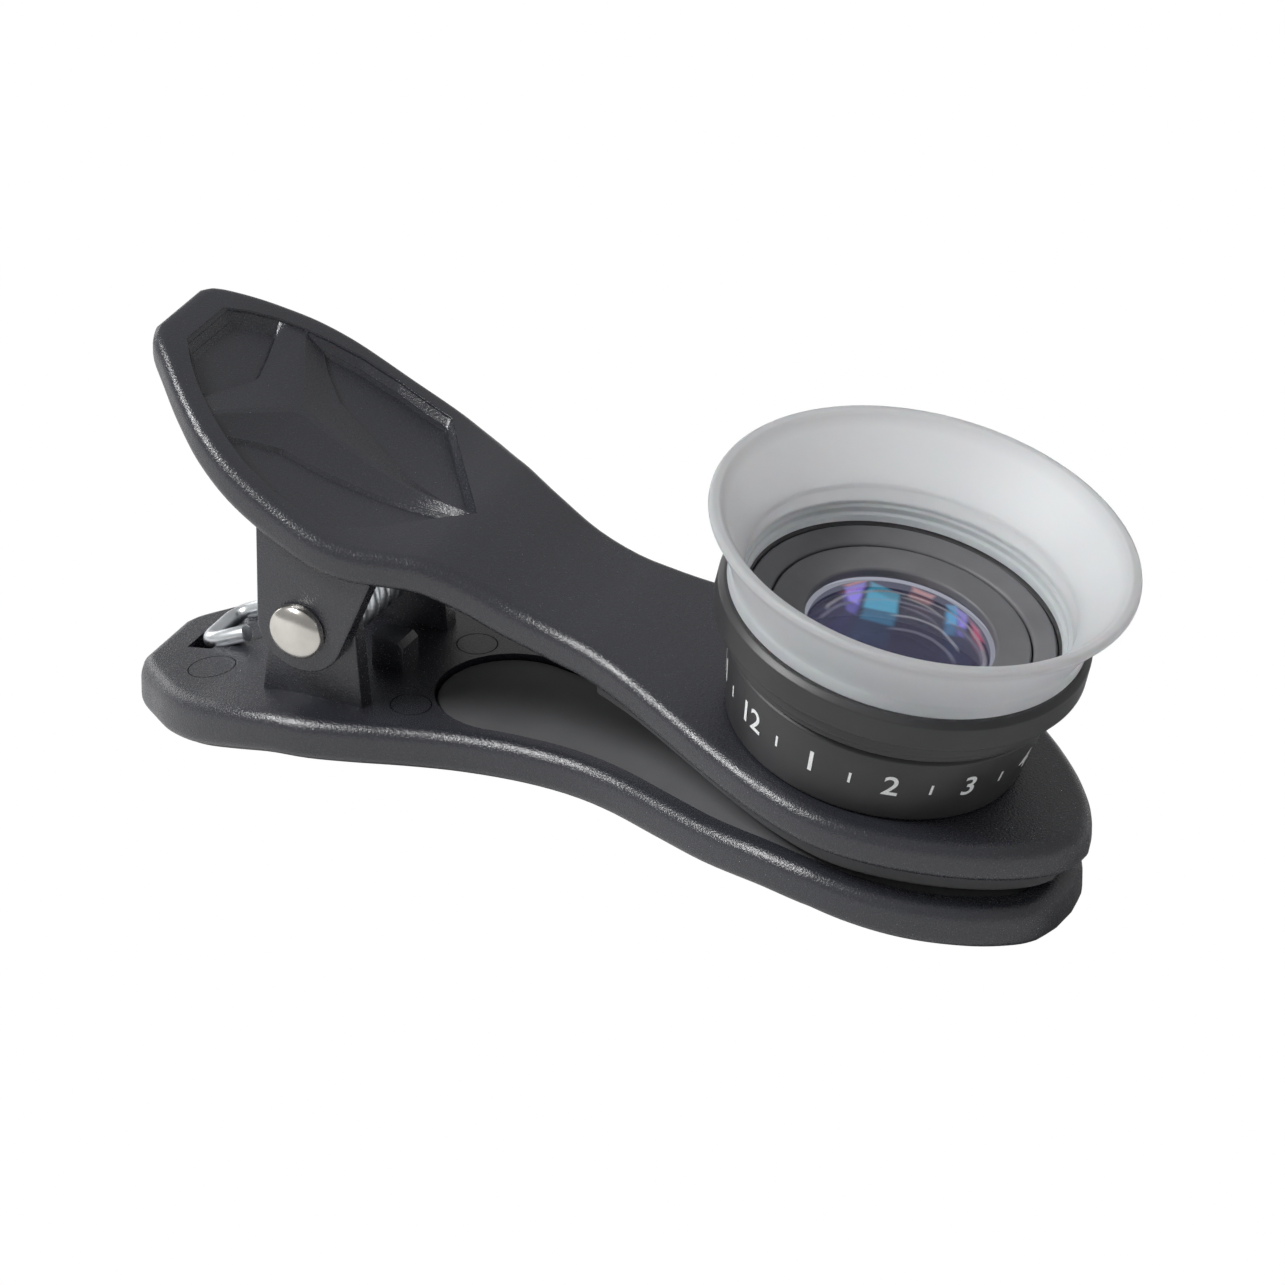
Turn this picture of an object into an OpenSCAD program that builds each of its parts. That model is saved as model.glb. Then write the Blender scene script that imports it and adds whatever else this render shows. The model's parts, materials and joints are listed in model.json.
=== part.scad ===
// Spring clip with a screw-in close-up lens and a frosted hood.
// X runs forward from the handles to the jaws, Y across the clip, Z up.
// The origin is on the resting plane, under the middle of the whole clip.

/* [Clip] */
// Forward lean of the jaws and of the lens axis, in degrees
jaw_lean = 13.6; // [13:0.1:14.2]
// Distance from the hinge pin back from the lens seat
pin_back = 48.8; // [48.6:0.1:49]
// Height of the hinge pin above the lens seat
pin_up = 1.9; // [1.8:0.1:2]
// Thickness of both arms
arm_t = 3.4; // [3.2:0.1:3.5]
// Radius that rounds the arms' outer edges
edge_r = 1.25; // [0.9:0.05:1.4]

/* [Hinge] */
// Diameter of the hinge pin
pin_d = 3.0; // [2.6:0.1:3.2]
// Diameter of the pin's domed head and of its cap
head_d = 5.0; // [4.6:0.1:5.4]
// Diameter of the spring wire
wire_d = 1.5; // [1.3:0.05:1.55]
// Mean radius of the spring's coil
coil_r = 2.9; // [2.8:0.05:3.0]

/* [Lens] */
// Outer diameter of the front ring
ring_d = 31.9; // [31.4:0.1:32.2]
// Diameter of the barrel where it stands on the upper arm
barrel_d = 25.5; // [25:0.1:26]
// Height of the barrel
barrel_h = 7.4; // [7.3:0.05:7.5]
// Diameter of the screw that holds the lens in the clip
screw_d = 17; // [16.8:0.1:17.2]
// Clear diameter of the front glass
glass_d = 16.3; // [16:0.1:16.6]

/* [Hood] */
// Outer diameter of the hood's rim
rim_d = 36.7; // [36:0.1:37.5]
// Height of the hood's rim above the lens seat, along the lens axis
rim_h = 19.8; // [19.4:0.1:20.2]

/* [Hidden] */
$fn = 96;
e = 0.02;

lean = tan(jaw_lean);
pin_x = -pin_back;
pin_z = pin_up;
run_gap = 0.05;

// Places across the clip, from the middle outwards
lug_in = 6.6;
lug_out = 8.4;
ear_in = 8.65;
ear_out = 10.9;

// Half width of each arm along its length, as seen from above
upper_plan = [[-66.5, 3.6], [-66.0, 4.9], [-64.2, 6.7], [-61.5, 9.0], [-58.4, 11.1], [-54.9, 12.4],
    [-50, 13.0], [-46, 13.05], [-42.5, 12.1], [-39, 10.5], [-35, 9.1], [-30, 8.2], [-25, 8.05],
    [-20.5, 8.8], [-15, 10.7], [-9, 12.9], [-3.6, 14.4], [1.5, 14.8], [6, 13.7], [11, 11.1],
    [14.9, 8.1], [17.4, 5.4], [18.9, 3.0], [19.6, 1.0]];
lower_plan = [[-68.6, 3.4], [-68.0, 4.7], [-65.8, 6.9], [-62.6, 9.7], [-59.0, 11.6], [-54.5, 12.8],
    [-50.5, 13.1], [-47.6, 12.9], [-44, 11.9], [-39.5, 10.3], [-35, 9.0], [-30, 8.2], [-25, 8.15],
    [-20.5, 9.0], [-15, 10.9], [-10, 12.6], [-5, 13.8], [0, 14.2], [4.5, 13.7], [9, 12.1],
    [13.3, 9.3], [16.2, 6.4], [17.6, 4.0], [18.1, 1.4]];

// Height of the upper arm's top and of the lower arm's rim, seen from the side
upper_rise = [[-66.5, 23.7], [-63.7, 22.3], [-60.3, 20.2], [-56.8, 18.0], [-53, 15.75], [-49.2, 13.8],
    [-46, 12.4], [-43, 11.5], [-40, 11.05], [-37.5, 10.6], [-34, 9.25], [-30, 7.45], [-26, 6.2],
    [-23, 5.56], [-20, 20 * lean]];
lower_rise = [[-68.6, -9.45], [-60, -7.85], [-55, -6.7], [-51.5, -6.05], [-48, -5.85], [-40, -5.85],
    [-10, -5.85], [-4, -5.75], [1, -6.35]];
rim_up = 0.45;
rim_w = 1.4;
jaw_gap = 6.4;

// Interpolation through hand-picked points
function knot_slope(k, i) = let (a = max(i - 1, 0), b = min(i + 1, len(k) - 1))
    (k[b][1] - k[a][1]) / (k[b][0] - k[a][0]);
function knot_index(k, x, i = 0) = i >= len(k) - 2 || x < k[i + 1][0] ? i : knot_index(k, x, i + 1);
function along(k, x) = let (i = knot_index(k, x), h = k[i + 1][0] - k[i][0],
    t = (x - k[i][0]) / h, u = 1 - t)
    k[i][1] * u * u * (1 + 2 * t) + knot_slope(k, i) * h * t * u * u
    + k[i + 1][1] * t * t * (3 - 2 * t) - knot_slope(k, i + 1) * h * t * t * u;

upper_top = function (x) x < -20 ? along(upper_rise, x) : -x * lean;
upper_low = function (x) upper_top(x) - arm_t * sqrt(1 + pow(upper_tilt(x), 2));
function upper_tilt(x) = x < -20 ? (along(upper_rise, x + 0.5) - along(upper_rise, x - 0.5)) : -lean;
lower_top = function (x) x < 1 ? along(lower_rise, x) : -jaw_gap - (x - 1) * lean + 0.05;
lower_floor = function (x) lower_top(x) - rim_up;
lower_more = [[-68.6, 1.6], [-60, 1.05], [-50, 0.5], [-8, 0.35], [2, 0.4], [10, 0.5], [18.1, 0.5]];
lower_low = function (x) lower_top(x) - arm_t - along(lower_more, x);
// Height of the lens seat above the resting plane, which the jaw tip and the handle's end touch
seat_h = -min(lower_low(lower_plan[len(lower_plan) - 1][0] - edge_r),
    lower_low(lower_plan[0][0] + edge_r));
// Distance of the lens seat ahead of the middle of the whole clip
seat_x = (-lower_plan[0][0] - (rim_d / 2 * cos(jaw_lean) + (rim_h - 0.15) * sin(jaw_lean))) / 2;

// Points along one side of an arm, closer together at its ends
function side_points(plan, n) = let (a = plan[0][0], b = plan[len(plan) - 1][0])
    [for (i = [0:n]) let (u = i / n, x = a + (b - a) * (u - 0.11 * sin(360 * u))) [x, along(plan, x)]];
function outward(p, i) = let (n = len(p) - 1,
    a = i == 0 ? [p[0][0], -p[0][1]] : p[i - 1],
    b = i == n ? [p[n][0], -p[n][1]] : p[i + 1], d = b - a)
    [-d[1], d[0]] / norm(d);
function inset_side(p, d) = [for (i = [0:len(p) - 1]) let (q = p[i] - d * outward(p, i))
    [q[0], max(q[1], 0.15)]];
function ring_points(side, z, up) = let (n = len(side) - 1) concat(
    [for (i = [0:n]) [side[i][0], side[i][1], z(side[i][0]) + up]],
    [for (i = [n:-1:0]) [side[i][0], -side[i][1], z(side[i][0]) + up]]);

// A slab that follows an arm's plan between two curved surfaces, with rounded edges.
// Each layer is [inset from the plan, surface, height above that surface].
module layered_slab(plan, n, layers) {
    p = side_points(plan, n);
    m = 2 * (n + 1);
    k = len(layers);
    points = [for (l = layers) each ring_points(inset_side(p, l[0]), l[1], l[2])];
    walls = [for (j = [0:k - 2]) each [for (i = [0:m - 1]) let (a = j * m + i, b = j * m + (i + 1) % m)
        each [[a, b, a + m], [b, b + m, a + m]]]];
    low_cap = [for (i = [0:n - 1]) each [[i + 1, i, m - 1 - i], [m - 2 - i, i + 1, m - 1 - i]]];
    high_cap = [for (f = low_cap) [for (v = [2, 1, 0]) f[v] + (k - 1) * m]];
    polyhedron(points, concat(walls, low_cap, high_cap), convexity = 8);
}
function arc_layers(r, z, top, steps) = [for (s = [0:steps])
    let (a = 90 * (top ? s : steps - s) / steps) [r * (1 - cos(a)), z, (top ? -1 : 1) * r * (1 - sin(a))]];
module arm_slab(plan, top, low) layered_slab(plan, 64,
    concat(arc_layers(edge_r, low, false, 3), arc_layers(edge_r, top, true, 4)));
module arm_pocket(plan, inset, floor_z, ceiling_z) layered_slab(plan, 64,
    [[inset + 0.25, floor_z, 0], [inset, floor_z, 0.3], [inset, ceiling_z, 2]]);

// Frames: the hinge pin across the clip, and the lens axis
module at_seat() translate([seat_x, 0, seat_h]) children();
module on_lens_axis() at_seat() rotate([0, jaw_lean, 0]) children();
module across(y0, y1) translate([0, y1, 0]) rotate([90, 0, 0]) linear_extrude(y1 - y0) children();
module pin_bore(r) translate([pin_x, 0, pin_z]) rotate([90, 0, 0]) cylinder(r = r, h = 40, center = true);
module mirrored() {
    children();
    mirror([0, 1, 0]) children();
}

// Plate seen from the side: a round eye about the pin on a tapered root
module eye_plate(r, root_a, root_b, root_z) {
    translate([pin_x, pin_z]) circle(r = r);
    a = root_a - [pin_x, pin_z];
    b = root_b - [pin_x, pin_z];
    ta = tangent_angle(a, r, -1);
    tb = tangent_angle(b, r, 1);
    polygon([root_a, [pin_x, pin_z] + r * [cos(ta), sin(ta)], [pin_x, pin_z],
        [pin_x, pin_z] + r * [cos(tb), sin(tb)], root_b, [root_b[0], root_z], [root_a[0], root_z]]);
}
function tangent_angle(p, r, side) = atan2(p[1], p[0]) + side * acos(r / norm(p));

// Lower arm: floor with a raised rim, two lugs for the pin, a rest rib under the coil
lug_rear = [-53.9, -6.3];
lug_front = [-44.2, -6.3];
lug_r = 3.9;
hook_x = -64.1;
hook_y = [-0.3, 5.4];
hook_z = -8.75;
module ejector_mark(x, y, r, z) translate([x, y, z]) difference() {
    cylinder(r = r, h = 1);
    translate([0, 0, -1]) cylinder(r = r - 0.18, h = 3);
}
module lower_arm() color([0.2, 0.2, 0.22]) at_seat() {
    difference() {
        arm_slab(lower_plan, lower_top, lower_low);
        arm_pocket(lower_plan, rim_w, lower_floor, lower_top);
        intersection() {
            arm_pocket(lower_plan, pad_inset - 0.25, function (x) lower_floor(x) - pad_sink, lower_top);
            pad_limit(0.3);
        }
        translate([hook_x - wire_d / 2 - 0.3, hook_y[0] - 1.3, -10])
            cube([wire_d + 0.9, hook_y[1] - hook_y[0] + 2.5, 6]);
        mirrored() ejector_mark(-40.9, 5.87, 1.8, -6.42);
    }
    mirrored() difference() {
        across(lug_in, lug_out) eye_plate(lug_r, lug_rear, lug_front, -7.6);
        pin_bore(pin_d / 2 + 0.01);
    }
    across(-1.4, 1.4) polygon([[-47.2, -7.6], [-47.2, -3.1], [-44.6, -3.1], [-44.1, -3.6], [-44.1, -7.6]]);
}

// Pads: the lower one runs from behind the waist to the jaw tip, the upper one rings the lens hole
pad_inset = 2.3;
pad_sink = 1.3;
pad_rear = -40.7;
pad_end_r = 6.4;
module pad_limit(grow) linear_extrude(60, center = true) union() {
    translate([pad_rear + pad_end_r, 0]) circle(r = pad_end_r + grow);
    translate([pad_rear + pad_end_r, -30]) square([80, 60]);
}
module lower_pad() color([0.23, 0.24, 0.24]) at_seat() intersection() {
    layered_slab(lower_plan, 48, [[pad_inset, lower_floor, 0.03 - pad_sink], [pad_inset, lower_floor, -0.2],
        [pad_inset + 0.25, lower_floor, 0.05]]);
    pad_limit(0);
}
upper_pad_back = -24;
upper_pad_t = 2.3;
module upper_pad() color([0.2, 0.2, 0.2]) at_seat() difference() {
    intersection() {
        layered_slab(upper_plan, 48, [[pad_inset + 0.5, upper_low, -upper_pad_t],
            [pad_inset + 0.2, upper_low, 0.3 - upper_pad_t], [pad_inset + 0.2, upper_low, 0.57]]);
        translate([upper_pad_back, -30, -30]) cube(60);
    }
    rotate([0, jaw_lean, 0]) translate([0, 0, -15]) cylinder(r = screw_d / 2 + 1.6, h = 20);
}

// Upper arm: thumb rest at the back, two ears for the pin, the lens seat at the front
ear_r = 4.1;
ear_rear = [-52.75, 13.2];
ear_front = [-41.3, 9.4];
module upper_arm() color([0.2, 0.2, 0.22]) at_seat() difference() {
    union() {
        arm_slab(upper_plan, upper_top, upper_low);
        mirrored() difference() {
            across(ear_in, ear_out) ear_side();
            pin_bore(pin_d / 2 + run_gap);
        }
    }
    intersection() {
        layered_slab(upper_plan, 48, [[pad_inset, upper_low, -3], [pad_inset, upper_low, 0.6]]);
        translate([upper_pad_back - 0.2, -30, -30]) cube(60);
    }
    rotate([0, jaw_lean, 0]) translate([0, 0, -15]) cylinder(r = screw_d / 2 + 0.06, h = 20);
    thumb_rest();
}
module ear_side() {
    translate([pin_x, pin_z]) circle(r = ear_r);
    tf = tangent_angle(ear_front - [pin_x, pin_z], ear_r, -1);
    polygon([[pin_x - ear_r, pin_z], [ear_rear[0] - 0.15, ear_rear[1]], [-46, 10.6], ear_front,
        [pin_x, pin_z] + ear_r * [cos(tf), sin(tf)], [pin_x, pin_z]]);
}

// Thumb rest: a shallow recess with three panels sunk in it, which leave a three-legged star between
// them. The star's sides slope down from its crests to each panel's floor.
rest_hub = -54.5;
rest_side = -58.7;
rest_apex = -37.6;
rest_edge = [[-63.7, 3.1], [-62.4, 4.9], [-60.7, 6.7], [rest_side, 8.2], [-56.8, 9.3], [-54.2, 10.4],
    [-51, 11.0], [-46, 11.05], [rest_apex, 0.02]];
star_front = [[-59, 12], [-57.3, 8.6], [-55.5, 6.5], [-53.4, 4.65], [-51.5, 4.1], [-49.5, 3.5], [-47.9, 2.9],
    [-44.8, 1.85], [-41.4, 0.95], [-38.3, 0.35]];
star_rear = [[-60.4, 6.7], [-59.4, 3.3], [-58.6, 0], [-54.4, -17]];
crest_sink = 0.3;
rest_depth = 1.2;
crest_fall = 8.2 / (rest_hub - rest_side);
rest_y = function (x) lookup(x, rest_edge);
recess_foot = function (x) max(0.01, lookup(x, rest_edge) - 0.25);
rest_foot = function (x) min(lookup(x, rest_edge) - 0.5, (rest_apex - x) * 1.31 - 0.8);
crest_y = function (x) max(0.05, (rest_hub - x) * crest_fall + 0.05);
front_foot = function (x) lookup(x, star_front);
rear_y = function (x) min(rest_y(x), (rest_hub - x) * crest_fall + 0.01);
rear_foot = function (x) min(rest_y(x) - 0.5, lookup(x, star_rear));
function negated(f) = function (x) -f(x);
// A sunken panel in sections across X. Its walls slope from its two sides in to the feet of those sides.
module sunken_panel(x, low, low_foot, high, high_foot, sink, depth, end) {
    n = len(x);
    points = [for (i = x) let (top = upper_top(i), a = max(low_foot(i) - low(i), 0.05),
        b = max(high(i) - high_foot(i), 0.05), w = max(high(i) - low(i), 0.02),
        t = min(1, 0.98 * w / (a + b), (i - x[0] + 0.02) / end), z = top - sink - t * (depth - sink))
        each [[i, low(i), top + 2.5], [i, low(i) + w, top + 2.5], [i, low(i) + w, top - sink],
            [i, low(i) + w - b * t, z], [i, low(i) + a * t, z], [i, low(i), top - sink]]];
    walls = [for (i = [0:n - 2], j = [0:5]) let (a = i * 6 + j, b = i * 6 + (j + 1) % 6)
        each [[a, b, b + 6], [a, b + 6, a + 6]]];
    ends = [[for (j = [5:-1:0]) j], [for (j = [0:5]) (n - 1) * 6 + j]];
    polyhedron(points, concat(walls, ends), convexity = 6);
}
function steps_between(a, b, n) = [for (i = [0:n]) a + (b - a) * i / n];
module thumb_rest() {
    start = rest_edge[0][0];
    slope_sink = crest_sink - 0.04;
    sunken_panel(steps_between(start, rest_apex, 28), negated(rest_y), negated(recess_foot),
        rest_y, recess_foot, 0.05, crest_sink, 0.25);
    sunken_panel(steps_between(start + 0.25, rest_hub - 0.3, 18), negated(rear_y), negated(rear_foot),
        rear_y, rear_foot, slope_sink, rest_depth, 0.4);
    mirrored() sunken_panel(steps_between(rest_side + 0.3, rest_apex - 0.3, 40), crest_y, front_foot,
        rest_y, rest_foot, slope_sink, rest_depth, 0.02);
}
function reversed(p) = [for (i = [len(p) - 1:-1:0]) p[i]];

// Hinge pin with a domed head, and the domed cap pressed on its far end
module dome(d, h) {
    r = (d * d / 4 + h * h) / (2 * h);
    intersection() {
        translate([0, 0, h - r]) sphere(r = r);
        cylinder(d = d + 1, h = h + 1);
    }
}
head_gap = 0.08;
module pivot_pin() color([0.8, 0.79, 0.77]) at_seat() translate([pin_x, 0, pin_z]) rotate([90, 0, 0]) {
    translate([0, 0, -ear_out - 0.7]) cylinder(d = pin_d, h = 2 * ear_out + 1.4);
    translate([0, 0, ear_out + head_gap]) {
        cylinder(d = head_d, h = 0.45);
        translate([0, 0, 0.44]) dome(head_d, 1.05);
    }
}
module pin_cap() color([0.8, 0.79, 0.77]) at_seat() translate([pin_x, 0, pin_z]) rotate([-90, 0, 0])
    translate([0, 0, ear_out + head_gap]) difference() {
        union() {
            cylinder(d = head_d, h = 0.45);
            translate([0, 0, 0.44]) dome(head_d, 1.05);
        }
        translate([0, 0, -1]) cylinder(d = pin_d + 0.02, h = 1 + 0.65);
    }

// Torsion spring: a hook in the lower arm's slot, the coil round the pin, a leg under the upper arm
leg_rise = atan2(pin_z - hook_z, pin_x - hook_x) - asin(coil_r / norm([pin_x - hook_x, pin_z - hook_z]));
coil_start = leg_rise - 90;
coil_turns = 6;
coil_end = 46.5;
coil_near = -5.6;
leg_dir = [cos(leg_rise), 0, sin(leg_rise)];
up_dir = [-sin(coil_end), 0, cos(coil_end)];
function coil_point(t) = let (a = coil_start + t * (360 * coil_turns + coil_end - coil_start))
    [pin_x + coil_r * cos(a), hook_y[1] + t * (coil_near - hook_y[1]), pin_z + coil_r * sin(a)];
bend_r = 1.5;
hook_near = [hook_x, hook_y[0], hook_z];
hook_far = [hook_x, hook_y[1], hook_z];
function corner_arc(c, from, to, r) = [for (s = [0:5]) let (a = 90 * s / 5)
    c + from * r * (1 - sin(a)) + to * r * (1 - cos(a))];
spring_path = concat([hook_near + leg_dir * 4.6],
    corner_arc(hook_near, leg_dir, [0, 1, 0], bend_r),
    corner_arc(hook_far, [0, -1, 0], leg_dir, bend_r),
    [for (i = [0:138]) coil_point(i / 138)],
    [coil_point(1) + up_dir * 12]);
function unit(v) = v / norm(v);
function path_dir(p, i) = unit(p[min(i + 1, len(p) - 1)] - p[max(i - 1, 0)]);
function carried(p, i, n) = let (d = path_dir(p, i)) unit(n - d * (n * d));
function carried_normals(p, i, n, acc) = i == len(p) ? acc :
    let (m = carried(p, i, n)) carried_normals(p, i + 1, m, concat(acc, [m]));
module wire(p, r, sides) {
    normals = carried_normals(p, 0, [0.1, 0.2, 1], []);
    k = len(p);
    points = [for (i = [0:k - 1]) let (d = path_dir(p, i), u = normals[i], v = cross(d, u))
        each [for (s = [0:sides - 1]) p[i] + r * (u * cos(360 * s / sides) + v * sin(360 * s / sides))]];
    walls = [for (i = [0:k - 2], s = [0:sides - 1]) let (a = i * sides + s, b = i * sides + (s + 1) % sides)
        each [[a, a + sides, b], [b, a + sides, b + sides]]];
    polyhedron(points, concat(walls, [[for (s = [0:sides - 1]) s]],
        [[for (s = [sides - 1:-1:0]) (k - 1) * sides + s]]), convexity = 20);
}
module torsion_spring() color([0.78, 0.8, 0.82]) at_seat() wire(spring_path, wire_d / 2, 9);

// Lens, turned about its own axis: every ring is a turned section of [radius, height] points
module turned(section) rotate_extrude($fn = 128) polygon(section);
barrel_r = barrel_d / 2;
barrel_top_r = barrel_r + 1.25;
screw_r = screw_d / 2;
ring_r = ring_d / 2;
tail_r = barrel_r - 0.85;
thread_fit = 0.06;
collar_r = ring_r - 1.45;
step_r = ring_r - 0.85;
recess_r = ring_r - 0.97;
bezel_r = recess_r - 1.68;
groove_r = 11.2;
cell_r = 9.0;
element_r = cell_r - 0.1;
rear_cell_r = screw_r - 1.2;
rear_element_r = rear_cell_r - 0.1;
ring_low = 9.8;
ring_top = 12.6;
clear = glass_d / 2;
module lens_barrel() color([0.12, 0.12, 0.13]) on_lens_axis() turned([
    [screw_r - 1.9, -3.1], [screw_r - 0.4, -3.1], [screw_r, -2.7], [screw_r, 0.05], [barrel_r - 0.25, 0.05],
    [barrel_r, 0.3], [barrel_top_r - 0.03, barrel_h - 0.3], [barrel_top_r - 0.33, barrel_h],
    [tail_r + 0.45, barrel_h], [tail_r + thread_fit, barrel_h - 0.4], [tail_r + thread_fit, 3.3],
    [rear_cell_r, 3.3], [rear_cell_r, -1.2], [screw_r - 1.9, -1.2]]);
module lens_disc(r, z0, z1, rise_up, rise_down) {
    up = [for (s = [0:8]) let (x = r * (1 - s / 8)) [x, z1 + rise_up * (1 - pow(x / r, 2))]];
    down = [for (s = [0:8]) let (x = r * s / 8) [x, z0 - rise_down * (1 - pow(x / r, 2))]];
    rotate_extrude($fn = 96) polygon(concat(down, up));
}
module rear_element() color([0.7, 0.8, 0.85, 0.4]) on_lens_axis()
    lens_disc(rear_element_r, -1.15, 0.3, 0.35, 0.35);
module rear_spacer() color([0.1, 0.1, 0.1]) on_lens_axis() turned([
    [6.3, 0.42], [rear_element_r, 0.42], [rear_element_r, 1.25], [6.5, 1.25]]);
module middle_element() color([0.7, 0.8, 0.85, 0.4]) on_lens_axis()
    lens_disc(rear_element_r, 1.3, 2.3, 0.3, -0.3);
module rear_retaining_ring() color([0.1, 0.1, 0.1]) on_lens_axis() turned([
    [6.2, 2.42], [rear_cell_r - 0.05, 2.42], [rear_cell_r - 0.05, 3.0], [rear_cell_r - 0.25, 3.2],
    [6.4, 3.2]]);
module front_ring() color([0.13, 0.13, 0.14]) on_lens_axis() turned([
    [cell_r - 1.1, 3.7], [tail_r - 0.3, 3.7], [tail_r, 4.0], [tail_r, barrel_h + 0.12],
    [collar_r - 0.2, barrel_h + 0.12], [collar_r, barrel_h + 0.32], [collar_r, 8.35], [step_r, 8.55],
    [step_r, ring_low],
    [ring_r - 0.2, ring_low], [ring_r, ring_low + 0.2], [ring_r, 12.1], [ring_r - 0.5, ring_top],
    [recess_r, ring_top], [recess_r, 11.1], [bezel_r, 11.1], [bezel_r, 9.2], [cell_r, 9.2], [cell_r, 4.3],
    [cell_r - 1.1, 4.3]]);
module flint_element() color([0.75, 0.8, 0.85, 0.4]) on_lens_axis()
    lens_disc(element_r, 4.35, 6.2, -0.85, 0);
module crown_element() color([0.75, 0.8, 0.85, 0.4]) on_lens_axis()
    lens_disc(element_r, 6.25, 6.9, 0.35, 0.85);
module spacer_ring() color([0.1, 0.1, 0.1]) on_lens_axis() turned([
    [clear - 0.5, 7.02], [element_r, 7.02], [element_r, 7.62], [clear - 0.25, 7.62]]);
module front_element() color([0.45, 0.4, 0.6, 0.5]) on_lens_axis()
    lens_disc(element_r, 7.75, 9.15, 1.0, 0.35);
module inner_bezel_ring() color([0.1, 0.1, 0.11]) on_lens_axis() turned([
    [cell_r - 0.5, 9.25], [groove_r - 0.1, 9.25], [groove_r - 0.1, 10.45], [groove_r - 0.25, 10.6],
    [clear + 0.15, 10.42],
    [clear, 10.27], [clear, 9.65]]);
module outer_bezel_ring() color([0.1, 0.1, 0.11]) on_lens_axis() turned([
    [groove_r + 0.05, 9.25], [bezel_r - 0.1, 9.25], [bezel_r - 0.1, 11.05], [bezel_r - 0.35, 11.3],
    [groove_r + 0.25, 10.72], [groove_r + 0.05, 10.55]]);

// Hood: a plug neck in the front ring's recess, a short band and a thin wall that flares to the rim
neck_low = 11.35;
rim_r = rim_d / 2;
plug_r = recess_r - 0.08;
plug_in = bezel_r + 0.15;
band_r = ring_r - 0.6;
hood_wall_t = 1.15;
module hood() color([0.9, 0.92, 0.93, 0.7]) on_lens_axis() turned(concat(
    [[plug_in, neck_low], [plug_r, neck_low], [plug_r, ring_top + 0.06], [band_r - 0.2, ring_top + 0.06],
        [band_r, ring_top + 0.26], [band_r, ring_top + 1.1]],
    hood_wall(0, 0, 12),
    [[rim_r, rim_h - 0.15], [rim_r - 0.08, rim_h + 0.05], [rim_r - 0.3, rim_h + 0.2],
        [rim_r - 0.85, rim_h + 0.2]],
    reversed(hood_wall(-hood_wall_t, 0.35, 12)),
    [[band_r - 1.3, ring_top + 0.75], [band_r - 1.3, ring_top + 0.15], [plug_in + 0.3, ring_top + 0.05],
        [plug_in + 0.3, ring_top - 0.45], [plug_in, ring_top - 0.55]]));
// Points up the wall: a cone that opens faster towards the rim
function hood_wall(dr, dz, n) = [for (i = [0:n]) let (t = i / n)
    [band_r - 0.1 + (rim_r - band_r + 0.1) * pow(t, 1.25) + dr,
        ring_top + 1.4 + t * (rim_h - ring_top - 1.8) + dz]];

lower_arm();
lower_pad();
pivot_pin();
pin_cap();
torsion_spring();
upper_arm();
upper_pad();
lens_barrel();
rear_element();
rear_spacer();
middle_element();
rear_retaining_ring();
front_ring();
flint_element();
crown_element();
spacer_ring();
front_element();
inner_bezel_ring();
outer_bezel_ring();
hood();
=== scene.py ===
"""Looks of a spring clip that carries a screw-in close-up lens with a frosted hood."""
import json
import math

import bmesh
import bpy
from bpy.props import FloatProperty, FloatVectorProperty, IntProperty, PointerProperty
from mathutils import Matrix, Vector


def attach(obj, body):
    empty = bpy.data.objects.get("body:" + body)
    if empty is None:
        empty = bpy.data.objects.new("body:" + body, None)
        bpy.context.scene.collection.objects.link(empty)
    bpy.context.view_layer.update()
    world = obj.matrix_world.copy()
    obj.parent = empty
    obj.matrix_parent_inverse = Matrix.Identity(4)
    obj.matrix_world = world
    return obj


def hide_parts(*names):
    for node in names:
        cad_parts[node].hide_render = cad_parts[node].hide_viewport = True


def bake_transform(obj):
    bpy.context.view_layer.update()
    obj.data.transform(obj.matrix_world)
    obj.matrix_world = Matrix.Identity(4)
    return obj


bl_info = {
    "name": "Clip-on phone lens",
    "version": (1, 0, 0),
    "blender": (4, 5, 0),
    "location": "3D View > Sidebar > Lens clip",
    "description": "Builds the arms, hinge, lens and hood of a clip-on phone lens",
    "category": "Object",
}

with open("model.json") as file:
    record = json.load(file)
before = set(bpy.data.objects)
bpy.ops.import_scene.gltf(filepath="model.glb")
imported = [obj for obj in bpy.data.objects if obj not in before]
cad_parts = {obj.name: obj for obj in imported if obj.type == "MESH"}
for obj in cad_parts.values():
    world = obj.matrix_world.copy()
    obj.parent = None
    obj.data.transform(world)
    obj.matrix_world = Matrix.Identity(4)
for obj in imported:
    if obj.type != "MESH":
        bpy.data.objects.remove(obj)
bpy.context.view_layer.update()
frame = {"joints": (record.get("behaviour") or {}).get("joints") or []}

MM = 0.001
JOINT = {j["name"]: j for j in frame["joints"]}
LENS_AXIS = Vector(JOINT["barrel_turn"]["axis"])
SEAT = Vector(JOINT["barrel_turn"]["pos_m"]) / MM
PIN = Vector(JOINT["jaw_open"]["pos_m"]) / MM
LEAN = math.atan2(LENS_AXIS.x, LENS_AXIS.z)

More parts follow.
